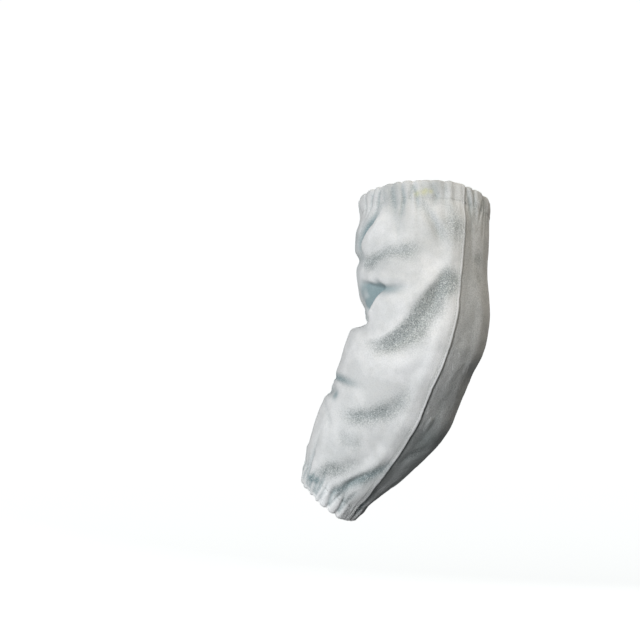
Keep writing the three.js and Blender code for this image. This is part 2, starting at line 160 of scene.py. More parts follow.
FOLDS = (
    # Upper arm, front: small folds that run out of the elastic
    Fold(((0.045, 131), (0.069, 134), (0.1, 135)), 1.5, 3.0, 2.4, nap=0.3, salts_and_shade=0.4),
    Fold(((0.05, 124), (0.08, 128), (0.12, 130)), -0.9, 3.2, 3.2),
    Fold(((0.04, 110), (0.07, 112), (0.11, 110)), 1.2, 2.6, 3.0, nap=0.4),
    Fold(((0.04, 97), (0.083, 90), (0.12, 83), (0.157, 79), (0.19, 77)), 2.8, 5.6, 3.0, nap=0.3),
    Fold(((0.045, 88), (0.087, 82), (0.123, 76), (0.165, 71), (0.21, 69)), -1.3, 3.6, 4.6),
    Fold(((0.05, 68), (0.1, 66), (0.15, 63), (0.2, 64)), 1.6, 5.0, 5.0, nap=0.5),
    # The roll at the inner side and the crease beside it
    Fold(((0.06, 134), (0.094, 140), (0.12, 151), (0.15, 160), (0.18, 158), (0.21, 150)),
         4.6, 7.0, 2.8, crisp=-0.6, nap=0.4, salts_and_shade=1.1, fade=(0.3, 0.6)),
    Fold(((0.09, 128), (0.127, 139), (0.149, 146), (0.17, 146)), -1.2, 3.0, 3.4),
    # The valley under the roll
    Fold(((0.15, 262), (0.165, 230), (0.18, 195), (0.2, 160), (0.214, 142), (0.204, 122)),
         5.0, 7.2, 7.2, nap=0.5, salts_and_shade=0.4, fade=(0.15, 0.5)),
    Fold(((0.222, 158), (0.214, 141), (0.201, 126), (0.2, 106), (0.18, 88)),
         1.6, 6.0, 6.0, nap=1.1, salts_and_shade=0.25, fade=(0.12, 0.4)),
    # Crook of the elbow: the pocket, its crisp edge and the deep notch of the bend
    Fold(((0.268, 170), (0.281, 152), (0.296, 137), (0.303, 122), (0.305, 98)), 5.8, 6.4, 3.8,
         crisp=-0.35, lean=-0.5, nap=0.1, salts_and_shade=0.95, fade=(0.34, 0.5)),
    Fold(((0.24, 158), (0.266, 140), (0.276, 122), (0.28, 104)), -1.6, 5.0, 5.0),
    Fold(((0.285, 129), (0.302, 134.5), (0.318, 140), (0.345, 149), (0.38, 160), (0.41, 170)),
         8.6, 9.4, 2.2, crisp=-0.85, lean=-1.4, nap=0.1, salts_and_shade=1.3, fade=(0.1, 0.5)),
    Fold(((0.33, 122), (0.345, 130), (0.36, 143)), -1.4, 5.0, 6.0),
    Fold(((0.392, 150), (0.41, 170), (0.43, 200), (0.45, 240)), 7.6, 9.6, 13.0, nap=0.3, salts_and_shade=0.3),
    Fold(((0.335, 154), (0.343, 180), (0.36, 240)), 6.0, 11.0, 11.0, nap=0.2, salts_and_shade=0.3),
    Fold(((0.37, 162), (0.382, 187), (0.4, 240)), 3.0, 7.0, 7.0, nap=0.2, salts_and_shade=0.2),
    # The broad diagonal of the bend, between its crest and the ridge by the seam
    Fold(((0.235, 62), (0.285, 70), (0.33, 80), (0.376, 92), (0.43, 105), (0.49, 120), (0.54, 138)),
         5.6, 9.6, 7.8, crisp=0.8, nap=1.25, salts_and_shade=0.15, fade=(0.18, 0.28)),
    Fold(((0.2, 66), (0.262, 79), (0.325, 98), (0.372, 114), (0.41, 126)), -1.8, 7.0, 7.0),
    Fold(((0.3, 61), (0.371, 71), (0.43, 80), (0.5, 95), (0.58, 116)), -2.6, 8.6, 9.6),
    # Forearm, front
    Fold(((0.69, 236), (0.68, 200), (0.662, 173), (0.651, 152), (0.636, 128), (0.62, 112)),
         2.6, 3.4, 4.6, crisp=-0.3, lean=-0.4, nap=0.5, salts_and_shade=1.1, fade=(0.3, 0.38)),
    Fold(((0.69, 240), (0.685, 200), (0.685, 165), (0.682, 140)), 2.2, 5.0, 5.0, nap=0.0, salts_and_shade=0.1),
    Fold(((0.735, 236), (0.72, 200), (0.7, 158), (0.694, 140)), 4.0, 5.6, 5.6, nap=0.4, salts_and_shade=0.5),
    Fold(((0.735, 142), (0.725, 122), (0.702, 108), (0.668, 94), (0.628, 86), (0.56, 82), (0.52, 81)),
         2.1, 8.4, 7.2, nap=1.5, salts_and_shade=0.35, fade=(0.42, 0.5)),
    Fold(((0.735, 176), (0.757, 152), (0.776, 139), (0.81, 137)), 1.1, 2.6, 3.6, nap=0.3, salts_and_shade=0.4),
    Fold(((0.79, 122), (0.79, 104), (0.78, 88)), 1.2, 6.0, 6.0, nap=0.7),
    # Lower forearm: the long folds that run out of the wrist gathers
    Fold(((0.945, 128), (0.9, 113), (0.871, 99), (0.843, 91), (0.81, 83)),
         1.8, 4.8, 5.6, nap=0.9, salts_and_shade=0.1),
    Fold(((0.95, 106), (0.91, 92), (0.866, 81), (0.82, 74), (0.76, 68), (0.7, 66)), -2.6, 5.0, 4.4),
    Fold(((0.96, 97), (0.926, 87), (0.9, 82), (0.878, 77), (0.838, 68), (0.793, 61), (0.75, 58)),
         3.6, 5.4, 4.6, nap=1.0, salts_and_shade=0.8, fade=(0.18, 0.4)),
    Fold(((0.96, 62), (0.91, 59), (0.85, 57), (0.78, 56)), -1.6, 4.4, 4.0),
    Fold(((0.96, 72), (0.93, 68), (0.89, 66)), 1.8, 2.8, 2.8, nap=0.8, salts_and_shade=0.4),
    Fold(((0.966, 145), (0.957, 131), (0.94, 114)), 3.2, 3.2, 3.4, nap=0.4, salts_and_shade=0.8),
    Fold(((0.955, 158), (0.91, 148), (0.87, 142)), 1.0, 4.0, 4.0, nap=0.4, salts_and_shade=0.4),
    # Outer side, behind the seam
    Fold(((0.02, 41), (0.06, 42), (0.12, 42)), 1.6, 3.4, 3.4, nap=0.9),
    Fold(((0.02, 48), (0.054, 47), (0.11, 47)), -1.3, 3.0, 3.0),
    Fold(((0.16, 30), (0.216, 37), (0.253, 34), (0.3, 24)), 0.7, 7.0, 8.0, nap=1.0),
    Fold(((0.3, 40), (0.4, 43), (0.5, 40), (0.6, 30)), 1.2, 8.0, 8.0, nap=0.8),
    Fold(((0.52, 46), (0.6, 43), (0.68, 46), (0.735, 40)), 1.0, 7.0, 7.6, nap=1.0),
    Fold(((0.6, 50), (0.66, 48)), -1.0, 3.6, 3.6),
    Fold(((0.78, 52), (0.745, 44), (0.718, 34), (0.69, 20)), 1.4, 5.6, 5.6, nap=0.9),
    Fold(((0.955, 12), (0.89, 16), (0.82, 18)), 3.0, 6.0, 6.0),
    Fold(((0.97, 34), (0.91, 40), (0.85, 46)), 2.2, 3.6, 3.6, salts_and_shade=0.3),
    Fold(((0.44, 336), (0.468, 363), (0.48, 384), (0.5, 402)), 2.8, 14.0, 13.0, nap=0.3),
    Fold(((0.89, 180), (0.93, 178), (0.975, 168)), -2.6, 8.0, 8.0),
    # Back
    Fold(((0.4, 200), (0.36, 240), (0.31, 276)), 4.9, 9.6, 9.6, crisp=0.3, nap=0.3),
    Fold(((0.455, 204), (0.48, 240), (0.54, 280)), 5.6, 10.0, 10.0, crisp=-0.3, nap=0.3),
    Fold(((0.43, 216), (0.415, 256), (0.425, 300)), 2.4, 5.0, 6.0, nap=0.4),
    Fold(((0.25, 236), (0.23, 270), (0.215, 306)), 2.5, 10.0, 10.0, nap=0.4),
    Fold(((0.05, 222), (0.11, 230), (0.19, 231)), 2.8, 5.4, 5.4, nap=0.4),
    Fold(((0.05, 284), (0.12, 276), (0.22, 273)), 2.4, 6.0, 6.0),
    Fold(((0.05, 330), (0.1, 328), (0.17, 322)), 2.1, 5.4, 5.4),
    Fold(((0.64, 210), (0.61, 244), (0.6, 284)), 2.8, 8.6, 9.0, nap=0.4),
    Fold(((0.96, 236), (0.87, 234), (0.76, 224)), 4.2, 6.4, 6.4, nap=0.4),
    Fold(((0.96, 286), (0.88, 284), (0.79, 274)), 4.2, 6.4, 6.4),
    Fold(((0.96, 332), (0.89, 330), (0.82, 325)), 3.2, 6.0, 6.0),
)

# Where the nap stands rough outside the folds: its darker tone there is partly painted shade
ROUGH_AND_SHADED_PATCHES = (
    Mark(0.14, 67, 16.0, 0.68),
    Mark(0.2, 104, 9.0, 0.5),
    Mark(0.22, 142, 8.0, 0.6),
    Mark(0.43, 98, 11.0, 0.5),
    Mark(0.67, 64, 7.0, 0.3),
    Mark(0.21, 34, 11.0, 0.6),
    Mark(0.27, 36, 8.0, 0.4),
    Mark(0.6, 40, 12.0, 0.4),
    Mark(0.73, 42, 12.0, 0.5),
    Mark(0.89, 108, 9.0, 0.4),
)

# Dark blue-green tint outside the folds, most at the sleeve's inner side: partly the tanning salts, partly
# painted shade, strongest in the crook's pocket
SALT_AND_SHADE_PATCHES = (
    Mark(0.13, 172, 16.0, 0.45),
    Mark(0.24, 170, 15.0, 0.3),
    Mark(0.3, 163, 11.0, 0.8),
    Mark(0.3, 149, 7.0, 0.8),
    Mark(0.335, 160, 6.0, 0.5),
    Mark(0.335, 154, 6.0, 0.7),
    Mark(0.8, 120, 60.0, 0.1),
    Mark(0.7, 149, 6.0, 0.75),
)

# Painted light and shade on the panel in front: round marks that make the leather paler as painted light,
# and greyer below 0 as painted shade
FRONT_LIGHT_AND_SHADE = (
    Mark(0.1, 108, 22.0, -0.2),
    Mark(0.13, 79, 18.0, -0.2),
    Mark(0.252, 117, 20.0, -0.33),
    Mark(0.39, 137, 16.0, 0.14),
    Mark(0.481, 87, 18.0, 0.36),
    Mark(0.393, 71, 12.0, 0.28),
    Mark(0.692, 132, 14.0, -0.14),
    Mark(0.65, 68, 14.0, 0.15),
    Mark(0.975, 98, 24.0, 0.8),
    Mark(0.283, 73, 10.0, -0.4),
    Mark(0.19, 100, 12.0, -0.16),
    Mark(0.015, 120, 20.0, -0.42),
    Mark(0.01, 80, 16.0, -0.32),
    Mark(0.32, 81, 10.0, -0.2),
    Mark(0.44, 108, 12.0, -0.15),
)

# The same on the panel behind: paler at the top as painted light, and greyer towards the wrist as painted
# shade
BACK_LIGHT_AND_SHADE = (
    Mark(0.06, 34, 16.0, 0.6),
    Mark(0.17, 38, 18.0, 0.5),
    Mark(0.53, 36, 20.0, -0.25),
    Mark(0.675, 38, 26.0, -0.95),
    Mark(0.79, 34, 26.0, -0.6),
)

# Small oil stains at the upper hem
STAINS = (
    Mark(0.037, 92, 3.2),
    Mark(0.034, 86, 2.2),
    Mark(0.04, 98, 3.0),
    Mark(0.03, 90, 2.0),
)


def smoothstep(value: Any, low: float, high: float) -> np.ndarray:
    """Ease from 0 at low to 1 at high.

    Args:
        value: What to ease over.
        low: Where the ease starts.
        high: Where it ends.

    Returns:
        The eased share.
    """
    share = np.clip((np.asarray(value, float) - low) / (high - low), 0, 1)
    return share * share * (3 - 2 * share)


def bell(value: Any) -> np.ndarray:
    """Return a smooth bump that is 1 at 0 and dies out beyond 2."""
    return np.exp(-np.asarray(value, float) ** 2)


def lerp(low: Any, high: Any, share: Any) -> Any:
    """Mix two values by a share."""
    return low + (high - low) * share


def read_column(
    rows: tuple[Station, ...] | tuple[SeamPoint, ...], column: str, along: np.ndarray
) -> np.ndarray:
    """Read one column of a table between its rows by a smooth curve.

    Args:
        rows: The table, with an along column that rises.
        column: The name of the column to read.
        along: Where to read it.

    Returns:
        The column's values there.
    """
    places = np.array([row.along for row in rows])
    values = np.array([getattr(row, column) for row in rows])
    before = np.maximum(np.arange(len(rows)) - 1, 0)
    after = np.minimum(np.arange(len(rows)) + 1, len(rows) - 1)
    slopes = (values[after] - values[before]) / (places[after] - places[before])
    place = np.clip(along, places[0], places[-1])
    row = np.clip(np.searchsorted(places, place, side="left") - 1, 0, len(rows) - 2)
    span = places[row + 1] - places[row]
    t = (place - places[row]) / span
    return (
        (2 * t**3 - 3 * t**2 + 1) * values[row]
        + (t**3 - 2 * t**2 + t) * span * slopes[row]
        + (3 * t**2 - 2 * t**3) * values[row + 1]
        + (t**3 - t**2) * span * slopes[row + 1]
    )


def turn_between(start: Any, end: Any) -> np.ndarray:
    """Return the shorter way round from one angle to another, in radians.
    """
    return np.arctan2(np.sin(end - start), np.cos(end - start))


class Lumps(NamedTuple):
    """Soft lumps that stand up and down by a height, all of about one size."""

    height: float
    size: float
    seed: int

    def over(self, points: np.ndarray) -> np.ndarray:
        """Find the lumps' heights, which are the same on each run.

        Args:
            points: Places in millimetres, with the coordinates on the last axis.

        Returns:
            One height for each place.
        """
        lattice = 32
        values = np.random.default_rng(self.seed).uniform(-1, 1, (lattice, lattice, lattice))
        scaled = points / self.size
        whole = np.floor(scaled).astype(int)
        part = scaled - whole
        part = part * part * (3 - 2 * part)
        total = np.zeros(points.shape[:-1])
        for corner in np.ndindex(2, 2, 2):
            weight = np.ones(points.shape[:-1])
            for axis in range(3):
                weight = weight * (part[..., axis] if corner[axis] else 1 - part[..., axis])
            spot = [(whole[..., axis] + corner[axis]) % lattice for axis in range(3)]
            total = total + weight * values[spot[0], spot[1], spot[2]]
        return self.height * total


@dataclass(frozen=True)
class SleeveForm:
    """The smooth worn form: the arm's line and the section along it."""

    upper_arm: float = 163.5
    forearm: float = 213.7
    bend_radius: float = 110.0
    upper_tilt_deg: float = 10.0
    fore_tilt_deg: float = 8.0
    fore_slope_deg: float = 30.4
    upper_size: tuple[float, float] = (152.0, 126.0)
    elbow_size: tuple[float, float] = (146.0, 128.0)
    wrist_size: tuple[float, float] = (82.0, 68.0)
    upper_slant_deg: float = 7.0
    wrist_slant_deg: float = 8.4
    wrist_outer_slant_deg: float = 7.0
    outer_drop: float = 6.0
    inner_drop: float = 2.0
    upper_slant_reach: float = 110.0
    wrist_slant_reach: float = 80.0
    lap_width: float = 12.0

    @cached_property
    def upper_direction(self) -> np.ndarray:
        """Direction of the upper arm, away from the shoulder."""
        tilt = math.radians(self.upper_tilt_deg)
        return np.array([0, -math.sin(tilt), -math.cos(tilt)])

    @cached_property
    def fore_direction(self) -> np.ndarray:
        """Direction of the forearm, towards the wrist."""
        tilt = math.radians(self.fore_tilt_deg)
        slope = math.radians(self.fore_slope_deg)
        across = -math.sin(slope) * math.cos(tilt)
        return np.array([across, math.sin(tilt), -math.cos(slope) * math.cos(tilt)])

    @cached_property
    def bend_angle(self) -> float:
        """Angle that the elbow turns through, in radians."""
        return math.acos(float(self.upper_direction @ self.fore_direction))

    @cached_property
    def bend_start(self) -> float:
        """Distance at which the elbow's arc starts."""
        return self.upper_arm - self.bend_radius * math.tan(self.bend_angle / 2)

    @cached_property
    def bend_end(self) -> float:
        """Distance at which the elbow's arc ends."""
        return self.bend_start + self.bend_radius * self.bend_angle

    @cached_property
    def length(self) -> float:
        """Length of the sleeve along the arm's line."""
        return self.bend_end + self.forearm - self.bend_radius * math.tan(self.bend_angle / 2)

    def line(self, distance: np.ndarray) -> tuple[np.ndarray, np.ndarray]:
        """Find the arm's line at a distance from the upper opening.

        Args:
            distance: Distances along the line.

        Returns:
            The centres and the unit tangents there.
        """
        bend_side = self.fore_direction - self.upper_direction * math.cos(self.bend_angle)
        bend_side = bend_side / np.linalg.norm(bend_side)
        turned = np.clip((distance - self.bend_start) / self.bend_radius, 0, self.bend_angle)[..., None]
        straight = np.minimum(distance, self.bend_start)[..., None]
        beyond = np.maximum(distance - self.bend_end, 0)[..., None]
        centre = (
            self.upper_direction * (straight + self.bend_radius * np.sin(turned))
            + bend_side * self.bend_radius * (1 - np.cos(turned))
            + self.fore_direction * beyond
        )
        tangent = self.upper_direction * np.cos(turned) + bend_side * np.sin(turned)
        return centre, tangent

    def half_sizes(self, distance: np.ndarray) -> dict[str, np.ndarray]:
        """Find the half sizes of the section: outer, inner, front and back.

        Args:
            distance: Distances along the arm's line.

        Returns:
            The half sizes by name.
        """
        along = distance / self.length
        elbow = (self.bend_start + self.bend_end) / 2 / self.length
        corners = [0, elbow, 1]
        width, depth = (
            np.interp(along, corners, sizes) / 2
            for sizes in zip(self.upper_size, self.elbow_size, self.wrist_size)
        )
        return {
            "outer": width * read_column(STATIONS, "outer", along),
            "inner": width * read_column(STATIONS, "inner", along),
            "front": depth * read_column(STATIONS, "front", along),
            "back": depth * read_column(STATIONS, "back", along),
        }

    def radius(self, distance: np.ndarray) -> np.ndarray:
        """Find the mean radius of the section."""
        return sum(self.half_sizes(distance).values()) / 4

    def point(self, distance: np.ndarray, angle: np.ndarray) -> np.ndarray:
        """Find points of the smooth form.

        Args:
            distance: Distances along the arm's line.
            angle: Radians from the outer side towards the front, of the same shape.

        Returns:
            The points, with the coordinates on a new last axis.
        """
        centre, tangent = self.line(distance)
        front = np.array([0.0, -1.0, 0.0]) + tangent * tangent[..., 1:2]
        front = front / np.linalg.norm(front, axis=-1, keepdims=True)
        side = np.cross(front, tangent)
        half = self.half_sizes(distance)
        cosine, sine = np.cos(angle), np.sin(angle)
        across = cosine * np.where(cosine > 0, half["outer"], half["inner"])
        forward = sine * np.where(sine > 0, half["front"], half["back"])
        upper_pull = 1 - smoothstep(distance, 0, self.upper_slant_reach)
        wrist_pull = 1 - smoothstep(self.length - distance, 0, self.wrist_slant_reach)
        drop = np.where(cosine > 0, self.outer_drop, self.inner_drop) * cosine**2
        slide = upper_pull * (drop - forward * math.tan(math.radians(self.upper_slant_deg)))
        slide = slide + wrist_pull * forward * math.tan(math.radians(self.wrist_slant_deg))
        slide = slide + wrist_pull * across * math.tan(math.radians(self.wrist_outer_slant_deg))
        return (
            centre + side * across[..., None] + front * forward[..., None] + tangent * slide[..., None]
        )

    def normal(self, distance: np.ndarray, angle: np.ndarray) -> np.ndarray:
        """Find the unit directions straight out of the smooth form.

        Args:
            distance: Distances along the arm's line.
            angle: Angles around the sleeve.

        Returns:
            The directions, one for each place.
        """
        step = 0.01
        around = self.point(distance, angle + step) - self.point(distance, angle - step)
        down = self.point(distance + 1, angle) - self.point(distance - 1, angle)
        out = np.cross(around, down)
        return out / np.linalg.norm(out, axis=-1, keepdims=True)

    def seam(self, distance: np.ndarray) -> np.ndarray:
        """Find the angle of the seam that shows."""
        return np.radians(read_column(SEAM_LINE, "around", distance / self.length))

    def lap_middles(self, distance: np.ndarray) -> tuple[np.ndarray, np.ndarray]:
        """Find the angles of the middles of the two laps.

        Args:
            distance: Distances along the arm's line.

        Returns:
            The angles at the seam that shows and at the other.
        """
        half_lap = self.lap_width / self.radius(distance) / 2
        seam = self.seam(distance)
        return seam + half_lap, seam + math.pi - half_lap

    def past_lap(self, distance: np.ndarray, angle: np.ndarray) -> np.ndarray:
        """Find how far a place lies past the edge of the nearer lap, or 0 inside it.

        Args:
            distance: Distances along the arm's line.
            angle: Angles around the sleeve.

        Returns:
            Distances over the leather.
        """
        first, second = self.lap_middles(distance)
        nearest = np.minimum(abs(turn_between(first, angle)), abs(turn_between(second, angle)))
        half_lap = self.lap_width / self.radius(distance) / 2
        return np.maximum(nearest - half_lap, 0) * self.radius(distance)


@dataclass(frozen=True)
class Hem:
    """The turned hem and its elastic, the same at both ends."""

    leather: float = 1.5
    sheet_gap: float = 0.3
    fold_bulge: float = 0.9
    elastic_width: float = 12.0
    elastic_thickness: float = 1.2
    clearance: float = 0.4
    channel_ease: float = 2.0
    stitch_band: float = 2.5
    turn_under: float = 6.0
    scallop: float = 0.6

    @property
    def rim(self) -> float:
        """Distance from the end of the sleeve to where the fold's arc starts."""
        return self.fold_bulge + self.leather

    @property
    def channel(self) -> float:
        """Length of the elastic's channel."""
        return self.elastic_width + self.channel_ease

    @property
    def depth(self) -> float:
        """Distance from the fold to the hem's stitch row."""
        return self.channel + self.stitch_band

    @property
    def turned(self) -> float:
        """Length of leather that is turned in."""
        return self.depth + self.turn_under

    @property
    def channel_floor(self) -> float:
        """Depth of the turned layer below the surface, over the elastic."""
        return self.leather + self.elastic_thickness + 2 * self.clearance

    @property
    def sewn_floor(self) -> float:
        """Depth of the turned layer where it is sewn to the outer one."""
        return self.leather + self.sheet_gap


class Pinch(NamedTuple):
    """One pinched line of a hem, in radians and millimetres."""

    angle: float
    rim_depth: float
    sewn_depth: float
    width: float
    reach: float
    slope: float
    drift: float


@dataclass(frozen=True)
class Gathers:
    """The gathers of one end: pinched lines with soft puffs between them."""

    count: int
    depth: float
    width: float
    reach: float
    puff: float
    pull: float
    seed: int
    limit: float
    hold: float = 1.0
    blunt: float = 0.4
    least: float = 0.3
    wander: float = 0.26

    @cached_property
    def lines(self) -> list[Pinch]:
        """Spread the pinched lines round the end.

        Returns:
            The lines, each deep at the fold, at the stitches or at both.
        """
        random = np.random.default_rng(self.seed)
        steps = random.uniform(0.5, 1.5, self.count)
        angles = 2 * math.pi * np.cumsum(steps) / steps.sum()
        found = []
        for angle in angles:
            deep = self.depth * random.uniform(self.least, 1.3)
            lean = random.uniform(-1, 1)
            found.append(
                Pinch(
                    angle,
                    deep * (1 + 0.6 * min(lean, 0.3)),
                    deep * (1 - 0.6 * max(lean, -0.3)),
                    self.width * random.uniform(0.6, 1.4),
                    self.reach * float(np.clip(np.exp(random.normal(0, 0.6)), 0.35, 3.0)),
                    random.normal(0, self.wander),
                    random.normal(0, self.wander),
                )
            )
        return found

    @property
    def mean(self) -> float:
        """How far the puffs stand above the smooth form between the lines."""
        return self.limit - self.hold

    def pinched(
        self, from_fold: np.ndarray, angle: np.ndarray, radius: np.ndarray, depth: float
    ) -> np.ndarray:
        """Find how far the pinched lines draw the leather in.

        Args:
            from_fold: Distances from the hem's fold.
            angle: Angles around the sleeve.
            radius: Mean radius of the sleeve there.
            depth: Distance from the fold to the stitch row.

        Returns:
            Depths below the puffs, as negative heights.
        """
        share = np.clip(from_fold / depth, 0, 1)
        past = np.maximum(from_fold - depth, 0)
        total = np.zeros(np.broadcast(from_fold, angle).shape)
        for line in self.lines:
            slid = line.slope * (share - 1) * depth + line.drift * past
            aside = turn_between(line.angle + slid / radius, angle) * radius
            spread = line.width * (1 + 0.8 * past / (past + line.reach))
            away = (np.sqrt(aside**2 + self.blunt**2) - self.blunt) / spread
            deep = lerp(line.rim_depth, line.sewn_depth, share) * np.exp(-past / line.reach)
            total = total - deep * (0.6 * np.exp(-away) + 0.4 * bell(away / 2.2))
        return -self.limit * (1 - np.exp(total / self.limit))

    def raised(self, from_fold: np.ndarray, depth: float) -> np.ndarray:
        """Find how far the puffs stand out between the pinched lines.

        Args:
            from_fold: Distances from the hem's fold.
            depth: Distance from the fold to the stitch row.

        Returns:
            Heights.
        """
        share = np.clip(from_fold / depth, 0, 1)
        past = np.maximum(from_fold - depth, 0)
        return self.mean * np.exp(-past / self.reach) + self.puff * np.sin(math.pi * share**0.8) ** 2


@dataclass(frozen=True)
class Creases:
    """Small creases scattered over the body, most of them across the arm."""

    seed: int = 17
    count: int = 150
    along: tuple[float, float] = (0.09, 0.9)
    run: tuple[float, float] = (14.0, 46.0)
    slope: float = 0.55
    depth: tuple[float, float] = (0.1, 0.5)
    ridge: float = -0.7
    width: tuple[float, float] = (1.6, 4.4)
    uneven: tuple[float, float] = (0.7, 1.4)

    def folds(self, form: SleeveForm) -> list[Fold]:
        """Scatter the creases, one of every three as a low ridge.

        Args:
            form: The form that they lie on.

        Returns:
            The creases as folds.
        """
        random = np.random.default_rng(self.seed)
        found = []
        for _ in range(self.count):
            start = random.uniform(*self.along)
            around = random.uniform(0, 360)
            run = random.uniform(*self.run)
            slope = random.normal(0, self.slope)
            radius = float(form.radius(np.array(start * form.length)))
            turn = math.degrees(run * math.cos(slope) / radius)
            end = start + run * math.sin(slope) / form.length
            depth = random.uniform(*self.depth) * random.choice([1, 1, self.ridge])
            width = random.uniform(*self.width)
            path = ((start, around), (end, around + turn))
            found.append(Fold(path, depth, width, width * random.uniform(*self.uneven)))
        return found


@dataclass(frozen=True)
class Relief:
    """Everything that stands off the smooth form: gathers, folds, seams and lumps."""

    form: SleeveForm
    hem: Hem
    upper: Gathers = Gathers(
        count=46, depth=4.4, width=1.3, reach=9.0, puff=0.5, pull=0.4, seed=11, limit=2.9
    )
    wrist: Gathers = Gathers(
        count=38, depth=5.6, width=1.0, reach=6.8, puff=0.7, pull=0.6, seed=4, limit=3.1,
        least=0.45, wander=0.14,
    )
    scattered: Creases = Creases()
    ridge_height: float = 3.2
    ridge_width: float = 9.0
    stitch_inset: float = 3.6
    groove: float = 0.4
    groove_width: float = 1.5
    sewn_width: float = 3.0
    body_lumps: tuple[Lumps, ...] = (Lumps(0.7, 34.0, 5), Lumps(0.35, 15.0, 6), Lumps(0.12, 6.0, 7))
    hem_lumps: Lumps = Lumps(0.5, 5.5, 31)
    skin: Lumps = Lumps(0.07, 2.8, 8)
    ragged: Lumps = Lumps(0.45, 13.0, 21)
    rough_depth: float = 3.0
    hem_nap: float = 0.14

    def from_fold(self, distance: np.ndarray) -> np.ndarray:
        """Find the distance from the nearer hem's fold."""
        return np.maximum(np.minimum(distance, self.form.length - distance) - self.hem.rim, 0)

    def pinches(self, distance: np.ndarray, angle: np.ndarray) -> np.ndarray:
        """Find how far the pinched lines of both ends draw the leather in.

        Args:
            distance: Distances along the arm's line.
            angle: Angles around the sleeve.

        Returns:
            Depths, as negative heights.
        """
        near, radius = self.from_fold(distance), self.form.radius(distance)
        wrist, upper = (
            end.pinched(near, angle, radius, self.hem.depth) for end in (self.wrist, self.upper)
        )
        flat = smoothstep(self.form.past_lap(distance, angle), -4, 0.6 * self.form.lap_width)
        return np.where(distance > self.form.length / 2, wrist, upper) * flat

    def gathers(self, distance: np.ndarray, angle: np.ndarray) -> np.ndarray:
        """Find the height of the gathers, which lie flat in the laps.

        Args:
            distance: Distances along the arm's line.
            angle: Angles around the sleeve.

        Returns:
            Heights over the smooth form.
        """
        near, depth = self.from_fold(distance), self.hem.depth
        wrist, upper = (end.raised(near, depth) for end in (self.wrist, self.upper))
        raised = np.where(distance > self.form.length / 2, wrist, upper)
        lumps = self.hem_lumps.over(self.form.point(distance, angle))
        lumps = lumps * (1 - smoothstep(near, depth, 2 * depth)) * smoothstep(near, -1, 3)
        flat = smoothstep(self.form.past_lap(distance, angle), -4, 0.6 * self.form.lap_width)
        return self.pinches(distance, angle) + (raised + lumps) * flat

    def sewn_pull(self, distance: np.ndarray) -> np.ndarray:
        """Find how far the hem's stitch row pulls the leather in, as a negative height."""
        pull = np.where(distance > self.form.length / 2, self.wrist.pull, self.upper.pull)
        return -pull * bell((self.from_fold(distance) - self.hem.depth) / self.sewn_width)

    def fold_path(self, fold: Fold) -> np.ndarray:
        """Draw a fold's path as a smooth line of many short steps.

        Args:
            fold: The fold.

        Returns:
            Distances along the arm's line and angles, one pair for each point.
        """
        knots = np.array(fold.path)
        spots = np.linspace(0, len(knots) - 1, 5 * (len(knots) - 1) + 1)
        row = np.clip(spots.astype(int), 0, len(knots) - 2)
        t = (spots - row)[:, None]
        before, after = knots[np.maximum(row - 1, 0)], knots[np.minimum(row + 2, len(knots) - 1)]
        first, last = knots[row], knots[row + 1]
        bend = (2 * before - 5 * first + 4 * last - after) * t**2
        turn = (3 * first - before - 3 * last + after) * t**3
        curve = first + 0.5 * ((last - before) * t + bend + turn)
        return np.stack([curve[:, 0] * self.form.length, np.radians(curve[:, 1])], axis=1)

    def fold_frame(
        self, fold: Fold, distance: np.ndarray, angle: np.ndarray
    ) -> tuple[np.ndarray, np.ndarray]:
        """Find where places lie beside a fold's path.

        Args:
            fold: The fold.
            distance: Distances along the arm's line.
            angle: Angles around the sleeve.

        Returns:
            The distance to the path, positive on its right bank, and the strength there.
        """
        line = self.fold_path(fold)
        reach = 3 * max(fold.right, fold.left)
        middle, half = (line.max(axis=0) + line.min(axis=0)) / 2, np.ptp(line, axis=0) / 2
        radius = self.form.radius(distance)
        near = abs(distance - middle[0]) < half[0] + reach
        near = near & (abs(turn_between(middle[1], angle)) < half[1] + reach / radius)
        all_off, all_strength = np.full(distance.shape, 1e3), np.zeros(distance.shape)
        if not near.any():
            return all_off, all_strength
        distance, angle, radius = distance[near], angle[near], radius[near]
        steps = np.hypot(np.diff(line[:, 0]), np.diff(line[:, 1]) * float(radius.mean()))
        gone = np.concatenate([[0.0], np.cumsum(steps)]) / steps.sum()
        nearest = np.full(distance.shape, np.inf)
        side, share = np.zeros(distance.shape), np.zeros(distance.shape)
        for (start, turn), (end, end_turn), first, last in zip(line, line[1:], gone, gone[1:]):
            run_along, run_around = end - start, (end_turn - turn) * radius
            off_along = distance - start
            off_around = turn_between(turn, angle) * radius
            length = np.hypot(run_along, run_around)
            raw = (off_along * run_along + off_around * run_around) / length**2
            t = np.clip(raw, -9.0 if first == 0 else 0, 10.0 if last > 0.9999 else 1)
            away = np.hypot(off_along - t * run_along, off_around - t * run_around)
            closer = away < nearest
            cross = (off_around * run_along - off_along * run_around) / length
            side = np.where(closer, np.where(cross < 0, -1.0, 1.0), side)
            share = np.where(closer, first + t * (last - first), share)
            nearest = np.minimum(away, nearest)
        into, out = fold.fade
        all_off[near] = side * nearest
        all_strength[near] = smoothstep(share, 0, into) * (1 - smoothstep(share, 1 - out, 1))
        return all_off, all_strength

    def profile(self, fold: Fold, off: np.ndarray) -> np.ndarray:
        """Find the share of a fold's depth beside its path.

        Args:
            fold: The fold.
            off: Distances to its path, positive on its right bank.

        Returns:
            The share of its depth at each place.
        """
        width = np.where(off > 0, fold.right, fold.left)
        away = abs(off) / width
        sharp = np.where(off * fold.crisp > 0, abs(fold.crisp), 0)
        ramp = np.logaddexp(0, np.maximum(1.45 - away, -9) * 7) / 7 / 1.45
        return lerp(bell(away), np.minimum(ramp, 1), sharp)

